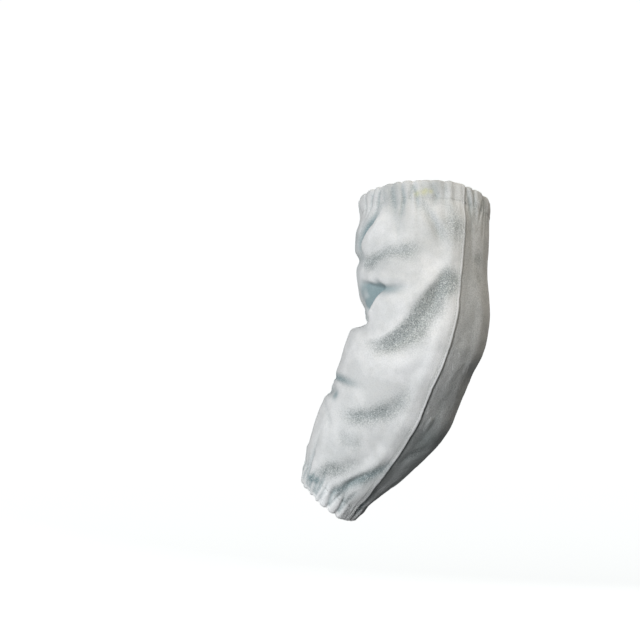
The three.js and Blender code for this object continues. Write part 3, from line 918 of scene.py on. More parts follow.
    def fold_height(self, fold: Fold, distance: np.ndarray, angle: np.ndarray) -> np.ndarray:
        """Find the height that one fold gives the leather."""
        off, strength = self.fold_frame(fold, distance, angle)
        return -fold.depth * strength * self.profile(fold, off)

    @cached_property
    def all_folds(self) -> list[Fold]:
        """The folds of the table and the scattered creases."""
        return [*FOLDS, *self.scattered.folds(self.form)]

    def seam_groove(self, distance: np.ndarray, angle: np.ndarray) -> np.ndarray:
        """Find how far the seams' stitch rows sink in, as a negative height.

        Args:
            distance: Distances along the arm's line.
            angle: Angles around the sleeve.

        Returns:
            Depths, as negative heights.
        """
        radius = self.form.radius(distance)
        seam = self.form.seam(distance)
        inset = self.stitch_inset / radius
        rows = [seam + inset, seam + math.pi - inset]
        near = np.minimum.reduce([abs(turn_between(row, angle)) for row in rows]) * radius
        return -self.groove * bell(near / self.groove_width)

    def height(self, distance: np.ndarray, angle: np.ndarray) -> np.ndarray:
        """Find the height of the leather's outer face over the smooth form.

        Args:
            distance: Distances along the arm's line.
            angle: Angles around the sleeve.

        Returns:
            Heights over the smooth form.
        """
        near = self.from_fold(distance)
        turned = self.hem.turned
        opened = smoothstep(near, turned - 3, 2 * turned - 3)
        total = sum(self.fold_height(fold, distance, angle) for fold in self.all_folds)
        past = self.form.past_lap(distance, angle)
        ridge = self.ridge_height * bell(past / self.ridge_width)
        base = self.form.point(distance, angle)
        lumps = sum(lumps.over(base) for lumps in self.body_lumps)
        supple = lerp(0.4, 1, smoothstep(past, 0, 15))
        body = opened * (total * supple + ridge + lumps * smoothstep(past, 0, 6))
        sewn = self.sewn_pull(distance) + self.seam_groove(distance, angle)
        return self.gathers(distance, angle) + sewn + body + self.skin.over(base)

    def shifted(self, distance: np.ndarray, angle: np.ndarray) -> tuple[np.ndarray, np.ndarray]:
        """Push the banks of leaning folds over their valleys.

        Args:
            distance: Distances along the arm's line.
            angle: Angles around the sleeve.

        Returns:
            The distances and angles after the push.
        """
        radius = self.form.radius(distance)
        opened = smoothstep(self.from_fold(distance), self.hem.turned, 2 * self.hem.turned)
        new_distance, new_angle = distance + 0.0, angle + 0.0
        for fold in FOLDS:
            if not fold.lean:
                continue
            off, strength = self.fold_frame(fold, distance, angle)
            side = math.copysign(1, fold.lean)
            width = fold.right if side > 0 else fold.left
            (start, turn), (end, end_turn) = fold.path[0], fold.path[-1]
            push = -fold.lean * strength * opened * bell((off - side * width) / width)
            run_along = (end - start) * self.form.length
            run_around = math.radians(end_turn - turn) * radius
            length = np.hypot(run_along, run_around)
            new_distance = new_distance - push * run_around / length
            new_angle = new_angle + push * run_along / length / radius
        return new_distance, new_angle

    def place(self, distance: np.ndarray, angle: np.ndarray, height: np.ndarray) -> np.ndarray:
        """Put places at a height over the smooth form, in metres.

        Args:
            distance: Distances along the arm's line.
            angle: Angles around the sleeve.
            height: Heights over the smooth form.

        Returns:
            The points in metres.
        """
        moved_distance, moved_angle = self.shifted(distance, angle)
        point = self.form.point(moved_distance, moved_angle)
        normal = self.form.normal(moved_distance, moved_angle)
        return (point + normal * height[..., None]) * MM

    def marks(self, distance: np.ndarray, angle: np.ndarray) -> tuple[np.ndarray, np.ndarray]:
        """Find how rough the nap lies and how much dark blue-green tint lies on the leather, both partly
        painted shade in folds and pinches.

        Args:
            distance: Distances along the arm's line.
            angle: Angles around the sleeve.

        Returns:
            The nap and the tint of each place, both from 0 to 1.
        """
        nap, salts_and_shade = np.zeros(angle.shape), np.zeros(angle.shape)
        for fold in FOLDS:
            if fold.depth < 0:
                continue
            off, strength = self.fold_frame(fold, distance, angle)
            deep = min(1.0, fold.depth / self.rough_depth) * strength
            width = np.where(off > 0, fold.right, fold.left)
            away, sharp = abs(off) / (width + 0.4), np.where(off * fold.crisp > 0, abs(fold.crisp), 0)
            to_crest = 1 - smoothstep(away, 0.7, 1.65)
            # In the valleys the nap's darker tone and the blue-green tint are partly painted shade
            nap = nap + fold.nap * deep * lerp(bell(away / 1.15), to_crest, sharp)
            salts_and_shade = salts_and_shade + fold.salts_and_shade * deep * lerp(bell(away / 0.9), to_crest, sharp)
        nap = nap + self.patches(ROUGH_AND_SHADED_PATCHES, distance, angle)
        salts_and_shade = salts_and_shade + self.patches(SALT_AND_SHADE_PATCHES, distance, angle)
        near = self.from_fold(distance)
        # Painted shade in the hems' pinched lines, through the nap and the blue-green tint
        pinched = np.clip(-self.pinches(distance, angle) / 2.6, 0, 1) ** 1.5 * smoothstep(near, 0.5, 4)
        ragged = 1 + self.ragged.over(self.form.point(distance, angle))
        hem = self.hem_nap * (1 - smoothstep(near, self.hem.depth - 3, self.hem.turned + 12))
        nap = np.clip(nap * ragged + 0.3 * pinched + hem * ragged, 0, 1)
        return nap, np.clip(salts_and_shade + 0.6 * pinched, 0, 1)

    def patches(self, marks: tuple[Mark, ...], distance: np.ndarray, angle: np.ndarray) -> np.ndarray:
        """Add up the strengths of some round marks at each place.

        Args:
            marks: The marks.
            distance: Distances along the arm's line.
            angle: Angles around the sleeve.

        Returns:
            The total strength at each place.
        """
        radius = self.form.radius(distance)
        total = np.zeros(angle.shape)
        for mark in marks:
            off_along = distance - mark.along * self.form.length
            off_around = turn_between(math.radians(mark.around), angle) * radius
            total = total + mark.strength * bell(np.hypot(off_along, off_around) / mark.radius)
        return total


@dataclass
class Sheet:
    """The grid of one leather panel: both faces, row by row."""

    distance: list[np.ndarray] = field(default_factory=list)
    angle: list[np.ndarray] = field(default_factory=list)
    height: list[np.ndarray] = field(default_factory=list)

    def add(self, distance: np.ndarray, angle: np.ndarray, height: np.ndarray) -> None:
        """Add a block of rows.

        Args:
            distance: The rows' distances.
            angle: The rows' angles.
            height: The rows' heights.
        """
        self.distance.append(np.broadcast_to(distance, angle.shape))
        self.angle.append(angle)
        self.height.append(np.broadcast_to(height, angle.shape))

    def stacked(self) -> tuple[np.ndarray, np.ndarray, np.ndarray]:
        """Return the whole grid's distances, angles and heights."""
        return np.concatenate(self.distance), np.concatenate(self.angle), np.concatenate(self.height)


@dataclass
class LeatherPanel:
    """One panel of the sleeve: a sheet with both ends turned in as hems."""

    side: Side
    relief: Relief
    material: bpy.types.Material
    flat: tuple[float, float]
    flat_area: float
    light_and_shade_marks: tuple[Mark, ...]
    lap_ease: float = 14.0
    row_step: float = 1.45
    leaf_rows: int = 17
    arc_rows: int = 9
    inner_columns: int = 175
    edge_offsets: tuple[float, ...] = (0.0, 0.2, 0.5, 1.0, 1.8, 2.8, 4.0)
    edge_round: float = 0.45
    edge_curl: float = 0.35
    edge_cut: tuple[Lumps, ...] = (Lumps(0.5, 8.0, 41), Lumps(0.25, 2.9, 42))
    edge_reach: float = 1.1
    back_nap: float = 0.35
    sharp_deg: float = 58.0

    @property
    def lapped_over(self) -> bool:
        """Whether this panel lies over the other one in the laps."""
        return self.side is Side.FRONT

    def borders(self, distance: np.ndarray) -> tuple[np.ndarray, np.ndarray]:
        """Find the angles of the panel's two long edges.

        Args:
            distance: Distances along the arm's line.

        Returns:
            The angles of the first edge and of the second.
        """
        form = self.relief.form
        seam = form.seam(distance)
        if self.lapped_over:
            line = np.stack([distance, 0 * distance, 0 * distance], axis=-1)
            uneven = sum(lumps.over(line) for lumps in self.edge_cut)
            return seam + uneven / form.radius(distance), seam + math.pi
        lap = form.lap_width / form.radius(distance)
        return seam + math.pi - lap, seam + 2 * math.pi + lap

    def columns(self, distance: np.ndarray) -> tuple[np.ndarray, np.ndarray]:
        """Spread the columns of the grid over rows.

        Args:
            distance: The rows' distances, one for each row.

        Returns:
            The angles of the grid and how far each place is from the nearer long edge.
        """
        radius = self.relief.form.radius(distance)[:, None]
        start, end = (border[:, None] for border in self.borders(distance))
        width = (end - start) * radius
        edge = np.array(self.edge_offsets)[None, :]
        inner = edge[0, -1]
        shares = np.linspace(0, 1, self.inner_columns)[None, 1:-1]
        middle = inner + shares * (width - 2 * inner)
        first = np.broadcast_to(edge, (len(distance), edge.shape[1]))
        across = np.concatenate([first, middle, width - first[:, ::-1]], axis=1)
        return start + across / radius, np.minimum(across, width - across)

    def lift(self, distance: np.ndarray, angle: np.ndarray) -> np.ndarray:
        """Find how far the panel stands off to clear the one under it.

        Args:
            distance: Distances along the arm's line.
            angle: Angles around the sleeve.

        Returns:
            Heights to add.
        """
        if not self.lapped_over:
            return np.zeros(angle.shape)
        past = self.relief.form.past_lap(distance, angle)
        return self.relief.hem.sewn_floor * (1 - smoothstep(past, 0, self.lap_ease))

    def curl(self, distance: np.ndarray, from_edge: np.ndarray) -> np.ndarray:
        """Find how far the raw edge curls up outside its stitches, more below the elbow.

        Args:
            distance: Distances along the arm's line.
            from_edge: Distances from the nearer long edge.

        Returns:
            Heights to add.
        """
        along = distance / self.relief.form.length
        low = lerp(0.1, 1.0, smoothstep(along, 0.35, 0.6)) * (1 - smoothstep(along, 0.9, 0.97))
        return self.edge_curl * low * self.lapped_over * bell(from_edge / 1.9)

    def leaf(self, end: End, skin: Sheet, lining: Sheet, outwards: bool) -> None:
        """Add the rows of the turned-in layer of a hem.

        Args:
            end: Which end.
            skin: The grid of the outward face.
            lining: The grid of the hidden face.
            outwards: Whether the rows run from the raw edge to the fold.
        """
        relief, hem = self.relief, self.relief.hem
        depth = np.linspace(hem.turned, 0, self.leaf_rows)
        depth = depth if outwards else depth[::-1]
        rim = hem.rim if end is End.UPPER else relief.form.length - hem.rim
        distance = rim + end.value * depth
        angle, _ = self.columns(distance)
        distance = distance[:, None] + np.zeros_like(angle)
        depth = depth[:, None]
        lift = self.lift(distance, angle)
        floor = lerp(
            hem.channel_floor, hem.sewn_floor, smoothstep(depth, hem.channel - 2, hem.depth - 0.5)
        )
        fade = 1 - 0.6 * smoothstep(depth, hem.depth, hem.turned)
        inner = np.minimum(0.35 * relief.gathers(distance, angle) * fade, 0.6)
        low = -floor - lift + inner + relief.sewn_pull(distance)
        low = low + relief.seam_groove(distance, angle)
        skin.add(distance, angle, low - hem.leather)
        lining.add(distance, angle, low)

    def arc(self, end: End, skin: Sheet, lining: Sheet, outwards: bool) -> None:
        """Add the rows of the fold at the end of a hem.

        Args:
            end: Which end.
            skin: The grid of the outward face.
            lining: The grid of the hidden face.
            outwards: Whether the rows run from the turned layer to the outer one.
        """
        relief, hem = self.relief, self.relief.hem
        turn = np.linspace(-math.pi / 2, math.pi / 2, self.arc_rows + 2)[1:-1]
        turn = (turn if outwards else turn[::-1])[:, None]
        rim = hem.rim if end is End.UPPER else relief.form.length - hem.rim
        angle, _ = self.columns(np.full(self.arc_rows, rim))
        distance = np.full_like(angle, rim)
        lift = self.lift(distance, angle)
        stand = relief.gathers(distance, angle)
        groove = relief.seam_groove(distance, angle)
        top = relief.height(distance, angle) + lift
        inner = np.minimum(0.35 * stand, 0.6)
        bottom = -hem.channel_floor - hem.leather - lift + inner + groove
        middle, half = (top + bottom) / 2, (top - bottom) / 2
        bulge = hem.fold_bulge + hem.leather + lift + hem.scallop * stand
        thin = hem.leather
        skin.add(rim - end.value * bulge * np.cos(turn), angle, middle + half * np.sin(turn))
        lining.add(
            rim - end.value * (bulge - thin) * np.cos(turn),
            angle,
            middle + (half - thin) * np.sin(turn),
        )

    def outer(self, skin: Sheet, lining: Sheet) -> None:
        """Add the rows of the outer layer, from one fold to the other.

        Args:
            skin: The grid of the outward face.
            lining: The grid of the hidden face.
        """
        relief, hem = self.relief, self.relief.hem
        reach = relief.form.length - 2 * hem.rim
        distance = hem.rim + np.linspace(0, reach, round(reach / self.row_step))
        angle, from_edge = self.columns(distance)
        distance = distance[:, None] + np.zeros_like(angle)
        top = relief.height(distance, angle) + self.lift(distance, angle)
        top = top + self.curl(distance, from_edge)
        inwards = np.clip(1 - from_edge / self.edge_reach, 0, 1)
        worn = self.edge_round * (1 - np.sqrt(1 - inwards**2))
        skin.add(distance, angle, top - worn)
        lining.add(distance, angle, top - hem.leather)

    def build(self) -> bpy.types.Object:
        """Build the panel as one closed mesh with its marks as attributes.

        Returns:
            The panel's object, at the origin.
        """
        skin, lining = Sheet(), Sheet()
        self.leaf(End.UPPER, skin, lining, outwards=True)
        self.arc(End.UPPER, skin, lining, outwards=True)
        self.outer(skin, lining)
        self.arc(End.WRIST, skin, lining, outwards=False)
        self.leaf(End.WRIST, skin, lining, outwards=False)
        top, bottom = skin.stacked(), lining.stacked()
        rows, columns = top[0].shape
        upper, under = self.relief.place(*top), self.relief.place(*bottom)[:, ::2]
        points = np.concatenate([upper.reshape(-1, 3), under.reshape(-1, 3)])
        mesh = bpy.data.meshes.new(self.side.value + "_leather")
        mesh.from_pydata(points.tolist(), [], closed_grid(rows, columns))
        mesh.update()
        nap, salts_and_shade = self.relief.marks(top[0], top[1])
        if not self.lapped_over:
            nap = np.maximum(nap, self.back_nap)
        marks = {
            "nap": nap,
            "salts_and_shade": salts_and_shade,
            "stain": np.clip(self.relief.patches(STAINS, top[0], top[1]), 0, 1),
            "seam_shadow": self.seam_shadow(top[0], top[1]),
            # Painted light and shade from the panel's round marks
            "painted_light_and_shade": self.relief.patches(self.light_and_shade_marks, top[0], top[1]),
        }
        for name, values in marks.items():
            self.mark(mesh, name, np.concatenate([values.ravel(), values[:, ::2].ravel()]))
        self.mark(mesh, "outside", np.arange(len(points)) < rows * columns)
        mesh.shade_smooth()
        mesh.set_sharp_from_angle(angle=math.radians(self.sharp_deg))
        mesh.materials.append(self.material)
        piece = bpy.data.objects.new(self.side.value + "_leather", mesh)
        bpy.context.scene.collection.objects.link(piece)
        return piece

    def seam_shadow(self, distance: np.ndarray, angle: np.ndarray) -> np.ndarray:
        """Find how much painted shade lies on the raw edge of the lap, and painted shadow beside it on the
        panel below.

        Args:
            distance: Distances along the arm's line.
            angle: Angles around the sleeve.

        Returns:
            Strengths from 0 to 1.
        """
        form = self.relief.form
        seam, radius = form.seam(distance), form.radius(distance)
        low = smoothstep(distance / form.length, 0.3, 0.6)
        ends = smoothstep(self.relief.from_fold(distance), 2, 12)
        edge = np.minimum(abs(turn_between(seam, angle)), abs(turn_between(seam + math.pi, angle)))
        # Painted shade on the lapped raw edge, and a painted shadow beside it on the panel below, stronger
        # and wider towards the wrist
        reach = 1.0 if self.lapped_over else lerp(1.5, 2.6, low)
        strength = lerp(0.5, 0.6, low) if self.lapped_over else lerp(0.3, 0.95, low)
        return strength * ends * bell(edge * radius / reach)

    @staticmethod
    def mark(mesh: bpy.types.Mesh, name: str, values: np.ndarray) -> None:
        """Store one value for each vertex under a name."""
        layer = mesh.attributes.new(name, "FLOAT", "POINT")
        layer.data.foreach_set("value", values.astype(np.float32))

    def dress(self, piece: bpy.types.Object) -> None:
        """Hang the panel from the frame's root and hide the frame's plain panel that it stands for.

        Args:
            piece: The panel's object.
        """
        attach(piece, "root")
        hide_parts(self.side.value)


def closed_grid(rows: int, columns: int) -> list[list[int]]:
    """List the faces of a sheet made of two grids joined at their borders.

    Args:
        rows: Rows of each grid.
        columns: Columns of the outer grid, an odd number. The hidden one has every second.

    Returns:
        The corners of each face, with the faces pointing out.
    """
    index = np.arange(rows * columns).reshape(rows, columns)
    half = (columns + 1) // 2
    under = rows * columns + np.arange(rows * half).reshape(rows, half)
    faces: list[list[int]] = []

    def strip(*corners: np.ndarray) -> None:
        """Add faces from one array for each corner."""
        faces.extend(np.stack([corner.ravel() for corner in corners], axis=1).tolist())

    strip(index[:-1, :-1], index[:-1, 1:], index[1:, 1:], index[1:, :-1])
    strip(under[:-1, :-1], under[1:, :-1], under[1:, 1:], under[:-1, 1:])
    strip(index[:-1, 0], index[1:, 0], under[1:, 0], under[:-1, 0])
    strip(index[1:, -1], index[:-1, -1], under[:-1, -1], under[1:, -1])
    strip(index[0, 1::2], index[0, :-1:2], under[0, :-1], under[0, 1:])
    strip(index[0, 2::2], index[0, 1::2], under[0, 1:])
    strip(index[-1, :-1:2], index[-1, 1::2], under[-1, 1:], under[-1, :-1])
    strip(index[-1, 1::2], index[-1, 2::2], under[-1, 1:])
    return faces


def linear(code: str) -> tuple[float, float, float, float]:
    """Turn an sRGB hex code into a linear colour.

    Args:
        code: The code, with its hash sign.

    Returns:
        Red, green, blue and alpha.
    """
    values = [int(code[place : place + 2], 16) / 255 for place in (1, 3, 5)]
    toned = [v / 12.92 if v <= 0.04045 else ((v + 0.055) / 1.055) ** 2.4 for v in values]
    return toned[0], toned[1], toned[2], 1.0


def add_node(
    tree: bpy.types.NodeTree, kind: str, inputs: dict[Any, Any] | None = None, **settings: Any
) -> bpy.types.Node:
    """Add a node with its settings, and link or set its inputs.

    Args:
        tree: The node tree.
        kind: The node's type name.
        inputs: Its inputs by name or number, each an output to link or a value to set.
        **settings: Its properties by name.

    Returns:
        The node.
    """
    node = tree.nodes.new(kind)
    for name, value in settings.items():
        setattr(node, name, value)
    for name, value in (inputs or {}).items():
        if isinstance(value, bpy.types.NodeSocket):
            tree.links.new(value, node.inputs[name])
        else:
            node.inputs[name].default_value = value
    return node


@dataclass(frozen=True)
class Finish:
    """A finish, built as a material of one shader whose inputs it works out."""

    name: str

    def surface(self, tree: bpy.types.NodeTree) -> dict[str, Any]:
        """Work out the shader's inputs, each a value or an output to link."""
        raise NotImplementedError(self.name)

    def build(self) -> bpy.types.Material:
        """Build the material.

        Returns:
            The material.
        """
        material = bpy.data.materials.new(self.name)
        material.use_nodes = True
        tree = material.node_tree
        tree.nodes.clear()
        shader = add_node(tree, "ShaderNodeBsdfPrincipled", self.surface(tree))
        add_node(tree, "ShaderNodeOutputMaterial", {"Surface": shader.outputs["BSDF"]})
        return material


@dataclass(frozen=True)
class SplitLeather(Finish):
    """Chrome-tanned split cowhide: both faces are suede, matt and softly mottled.

    The nap throws small painted shadows where it stands rough and lies darker there, partly as
    painted shade in the folds. Round marks paint light and shade on it. A dark blue-green tint is
    partly the cast of the chrome salts and partly painted shade in the deepest folds, and a
    painted shadow lies along the seam.
    """

    pale: str = "#dddedd"
    grey: str = "#cacccb"
    warm: str = "#cccbc3"
    shadow: str = "#6f7877"
    # Darker tone of rough nap: partly the suede's own, partly painted shade in fold valleys and pinches
    rough_nap_shade: str = "#a3a9a7"
    # Dark blue-green: partly the cast of the chrome salts, partly painted shade in deep folds, the crook's
    # pocket and the pinches
    salts_and_shade: str = "#7a9094"
    # Painted light and painted shade, laid on by the round tone marks
    painted_light: str = "#f4f6f6"
    painted_shade: str = "#808684"
    stain: str = "#c9c98e"
    inside: str = "#c4c8c5"
    # Painted shadow along the lapped seam, and painted shade on its raw edge
    seam_shadow_tint: str = "#4e5452"
    glint: str = "#e6e9e7"
    roughness: float = 0.95
    sheen: float = 0.18
    cloud_mm: float = 32.0
    patch_mm: float = 9.0
    tuft_mm: float = 1.5
    nap_mm: float = 0.8
    warmth: float = 0.22
    speckle: float = 0.64
    quiet_speckle: float = 0.11
    relief_mm: float = 1.1

    def noises(self, tree: bpy.types.NodeTree) -> dict[str, bpy.types.NodeSocket]:
        """Add the leather's patterns, each at its real size.

        Tufts of nap are finer than this on the hide, and are drawn coarser so that they show.

        Args:
            tree: The node tree.

        Returns:
            The patterns by name.
        """
        place = add_node(tree, "ShaderNodeTexCoord").outputs["Object"]
        sizes = {
            "cloud": (self.cloud_mm, 3.0),
            "patch": (self.patch_mm, 2.0),
            "tuft": (self.tuft_mm, 2.0),
            "nap": (self.nap_mm, 2.0),
        }
        return {
            name: add_node(
                tree,
                "ShaderNodeTexNoise",
                {"Vector": place, "Scale": 1 / (size * MM), "Detail": detail, "Roughness": 0.6},
                noise_dimensions="3D",
            ).outputs["Fac"]
            for name, (size, detail) in sizes.items()
        }

    def amounts(
        self, tree: bpy.types.NodeTree, noise: dict[str, bpy.types.NodeSocket], grain: bpy.types.NodeSocket
    ) -> dict[str, bpy.types.NodeSocket]:
        """Work out how much of each tint lies on the leather.

        Args:
            tree: The node tree.
            noise: The leather's patterns by name.
            grain: The tufts and the nap together.

        Returns:
            The amounts by name.
        """
        mark = {
            name: add_node(tree, "ShaderNodeAttribute", attribute_name=name).outputs["Fac"]
            for name in ("nap", "salts_and_shade", "stain", "seam_shadow", "painted_light_and_shade", "outside")
        }
        # The dark blue-green tint: partly the chrome salts, partly painted shade in the folds
        salt_shade_curve = add_node(tree, "ShaderNodeMath", {0: mark["salts_and_shade"], 1: 1.2}, operation="POWER")
        # What an amount follows, the range in which it does, and the amount at its two ends
        ranges = {
            "grey": (noise["cloud"], 0.38, 0.62, 0.0, 1.0),
            "warm": (noise["patch"], 0.4, 0.75, 0.0, self.warmth),
            # Painted light above 0 and painted shade below 0, from the round tone marks
            "painted_light": (mark["painted_light_and_shade"], 0.0, 1.0, 0.0, 1.0),
            "painted_shade": (mark["painted_light_and_shade"], 0.0, -1.0, 0.0, 1.0),
            # Rough nap lies darker: partly the suede's own tone, partly painted shade in the folds
            "rough_nap_shade": (mark["nap"], 0.0, 1.0, 0.0, 0.68),
            "salts_and_shade": (salt_shade_curve.outputs[0], 0.0, 1.0, 0.0, 0.9),
            "stain": (mark["stain"], 0.0, 1.0, 0.0, 0.5),
            "gap": (grain, 0.99, 0.91, 0.0, 1.0),
            "speckle": (mark["nap"], 0.0, 1.0, self.quiet_speckle, self.speckle),
            "tip": (grain, 1.08, 1.2, 0.0, 1.0),
            "lit": (mark["nap"], 0.0, 1.0, 0.0, 0.7),
            # Painted shadow beside the lapped seam, and painted shade on its raw edge
            "seam_shadow_tint": (mark["seam_shadow"], 0.0, 1.0, 0.0, 1.0),
            "inside": (mark["outside"], 1.0, 0.0, 0.0, 0.7),
            "relief": (mark["nap"], 0.0, 1.0, 0.35, 1.0),
        }
        found = {
            name: add_node(
                tree,
                "ShaderNodeMapRange",
                {"Value": value, "From Min": low, "From Max": high, "To Min": first, "To Max": last},
                clamp=True,
            ).outputs["Result"]
            for name, (value, low, high, first, last) in ranges.items()
        }
        # Shadow fills the gaps between tufts, and light catches their tips
        for name, place, strength in (("shadow", "gap", "speckle"), ("glint", "tip", "lit")):
            found[name] = add_node(
                tree, "ShaderNodeMath", {0: found[place], 1: found[strength]}, operation="MULTIPLY"
            ).outputs[0]
        return found

    def surface(self, tree: bpy.types.NodeTree) -> dict[str, Any]:
        """Lay the tints over each other and raise the nap.

        Args:
            tree: The node tree.

        Returns:
            The shader's inputs.
        """
        noise = self.noises(tree)
        grain = add_node(
            tree, "ShaderNodeMath", {0: noise["nap"], 1: noise["tuft"]}, operation="ADD"
        ).outputs[0]
        amount = self.amounts(tree, noise, grain)
        # Tanning drifts from pale to grey, then painted light and shade, the nap, the salts' tint with
        # painted shade, stains and the painted seam shadow lie on it
        layers = {
            "grey": self.grey,
            "warm": self.warm,
            "painted_light": self.painted_light,
            "painted_shade": self.painted_shade,
            "rough_nap_shade": self.rough_nap_shade,
            "salts_and_shade": self.salts_and_shade,
            "stain": self.stain,
            "shadow": self.shadow,
            "glint": self.glint,
            "seam_shadow_tint": self.seam_shadow_tint,
            "inside": self.inside,
        }
        colour: Any = linear(self.pale)
        for name, tint in layers.items():
            colour = add_node(
                tree, "ShaderNodeMix", {0: amount[name], 6: colour, 7: linear(tint)}, data_type="RGBA"
            ).outputs[2]
        bump = add_node(
            tree,
            "ShaderNodeBump",
            {"Strength": amount["relief"], "Distance": self.relief_mm * MM, "Height": grain},
        ).outputs["Normal"]
        return {
            "Base Color": colour,
            "Roughness": self.roughness,
            "Sheen Weight": self.sheen,
            "Sheen Roughness": 0.6,
            "Specular IOR Level": 0.2,
            "Normal": bump,
        }


@dataclass(frozen=True)
class RibbedYarn(Finish):
    """Yarn that lies in fine ribs, which show as low bands of light and shade."""

    colour: str
    shade: str
    direction: str
    rib_mm: float
    waver: float
    roughness: float
    sheen: float
    relief: float
    relief_mm: float

    def surface(self, tree: bpy.types.NodeTree) -> dict[str, Any]:
        """Band the yarn's two shades and raise its ribs.

        Args:
            tree: The node tree.

        Returns:
            The shader's inputs.
        """
        place = add_node(tree, "ShaderNodeTexCoord").outputs["Object"]
        rib = add_node(
            tree,
            "ShaderNodeTexWave",
            {"Vector": place, "Scale": 1 / (self.rib_mm * MM) / 6, "Distortion": self.waver},
            wave_type="BANDS",
            bands_direction=self.direction,
        ).outputs["Fac"]
        colour = add_node(
            tree,
            "ShaderNodeMix",
            {0: rib, 6: linear(self.shade), 7: linear(self.colour)},
            data_type="RGBA",
        ).outputs[2]
        bump = add_node(
            tree,
            "ShaderNodeBump",
            {"Strength": self.relief, "Distance": self.relief_mm * MM, "Height": rib},
        ).outputs["Normal"]
        return {
            "Base Color": colour,
            "Roughness": self.roughness,
            "Sheen Weight": self.sheen,
            "Normal": bump,
        }


@dataclass(frozen=True)
class PaintedWall(Finish):
    """Matt white paint that glows enough to hide the corner of the studio."""

    colour: str = "#eaecec"
    glow: float = 0.93

    def surface(self, tree: bpy.types.NodeTree) -> dict[str, Any]:
        """Return the paint's plain values."""
        return {
            "Base Color": linear(self.colour),
            "Roughness": 0.9,
            "Specular IOR Level": 0.1,
            "Emission Color": linear(self.colour),
            "Emission Strength": self.glow,
        }


SPLIT_LEATHER = SplitLeather("chrome_tanned_split_leather")

# Spun polyester sewing thread: off-white and dull, with a fine twist
SPUN_THREAD = RibbedYarn(
    "spun_polyester_thread",
    colour="#cccfcb",
    shade="#a9aeaa",
    direction="DIAGONAL",
    rib_mm=0.45,
    waver=1.0,
    roughness=0.7,
    sheen=0.2,
    relief=0.4,
    relief_mm=0.2,
)

# Knitted elastic band: white polyester ribs over rubber, matt and springy
KNITTED_ELASTIC = RibbedYarn(
    "knitted_elastic",
    colour="#ecebe4",
    shade="#c8c8c0",
    direction="Z",
    rib_mm=1.4,
    waver=0.4,
    roughness=0.8,
    sheen=0.0,
    relief=0.5,
    relief_mm=0.3,
)


@dataclass(frozen=True)
class StitchTree:
    """The Geometry Nodes tree that lays stitches along a curve."""

    name: str = "stitch_row"

    def build(self) -> bpy.types.NodeTree:
        """Build the tree, with the sizes as named inputs.

        Returns:
            The node tree.
        """
        tree = bpy.data.node_groups.new(self.name, "GeometryNodeTree")
        tree.interface.new_socket("Geometry", in_out="INPUT", socket_type="NodeSocketGeometry")
        for name in ("Pitch", "Length", "Thickness"):
            tree.interface.new_socket(name, in_out="INPUT", socket_type="NodeSocketFloat")
        tree.interface.new_socket("Seed", in_out="INPUT", socket_type="NodeSocketInt")
        tree.interface.new_socket("Thread", in_out="INPUT", socket_type="NodeSocketMaterial")
        tree.interface.new_socket("Geometry", in_out="OUTPUT", socket_type="NodeSocketGeometry")
        given = add_node(tree, "NodeGroupInput").outputs
        points = add_node(
            tree,
            "GeometryNodeResampleCurve",
            {"Curve": given["Geometry"], "Length": given["Pitch"]},
            mode="LENGTH",
        ).outputs["Curve"]
        ball = add_node(
            tree, "GeometryNodeMeshUVSphere", {"Segments": 8, "Rings": 7, "Radius": 0.5}
        ).outputs["Mesh"]
        size = add_node(
            tree,
            "ShaderNodeCombineXYZ",
            {"X": given["Length"], "Y": given["Thickness"], "Z": given["Thickness"]},
        ).outputs["Vector"]
        stitch = add_node(
            tree, "GeometryNodeTransform", {"Geometry": ball, "Scale": size}
        ).outputs["Geometry"]
        smooth = add_node(
            tree, "GeometryNodeSetShadeSmooth", {"Geometry": stitch}
        ).outputs["Geometry"]
        tangent = add_node(tree, "GeometryNodeInputTangent").outputs["Tangent"]
        turn = add_node(
            tree, "FunctionNodeAlignRotationToVector", {"Vector": tangent}, axis="X"
        ).outputs["Rotation"]
        uneven = add_node(
            tree,
            "FunctionNodeRandomValue",
            {"Min": (0.88, 0.92, 0.92), "Max": (1.06, 1.08, 1.08), "Seed": given["Seed"]},
            data_type="FLOAT_VECTOR",
        ).outputs["Value"]
        row = add_node(
            tree,
            "GeometryNodeInstanceOnPoints",
            {"Points": points, "Instance": smooth, "Rotation": turn, "Scale": uneven},
        ).outputs["Instances"]
        solid = add_node(
            tree, "GeometryNodeRealizeInstances", {"Geometry": row}
        ).outputs["Geometry"]
        finished = add_node(
            tree, "GeometryNodeSetMaterial", {"Geometry": solid, "Material": given["Thread"]}
        ).outputs["Geometry"]
        add_node(tree, "NodeGroupOutput", {"Geometry": finished})
        return tree


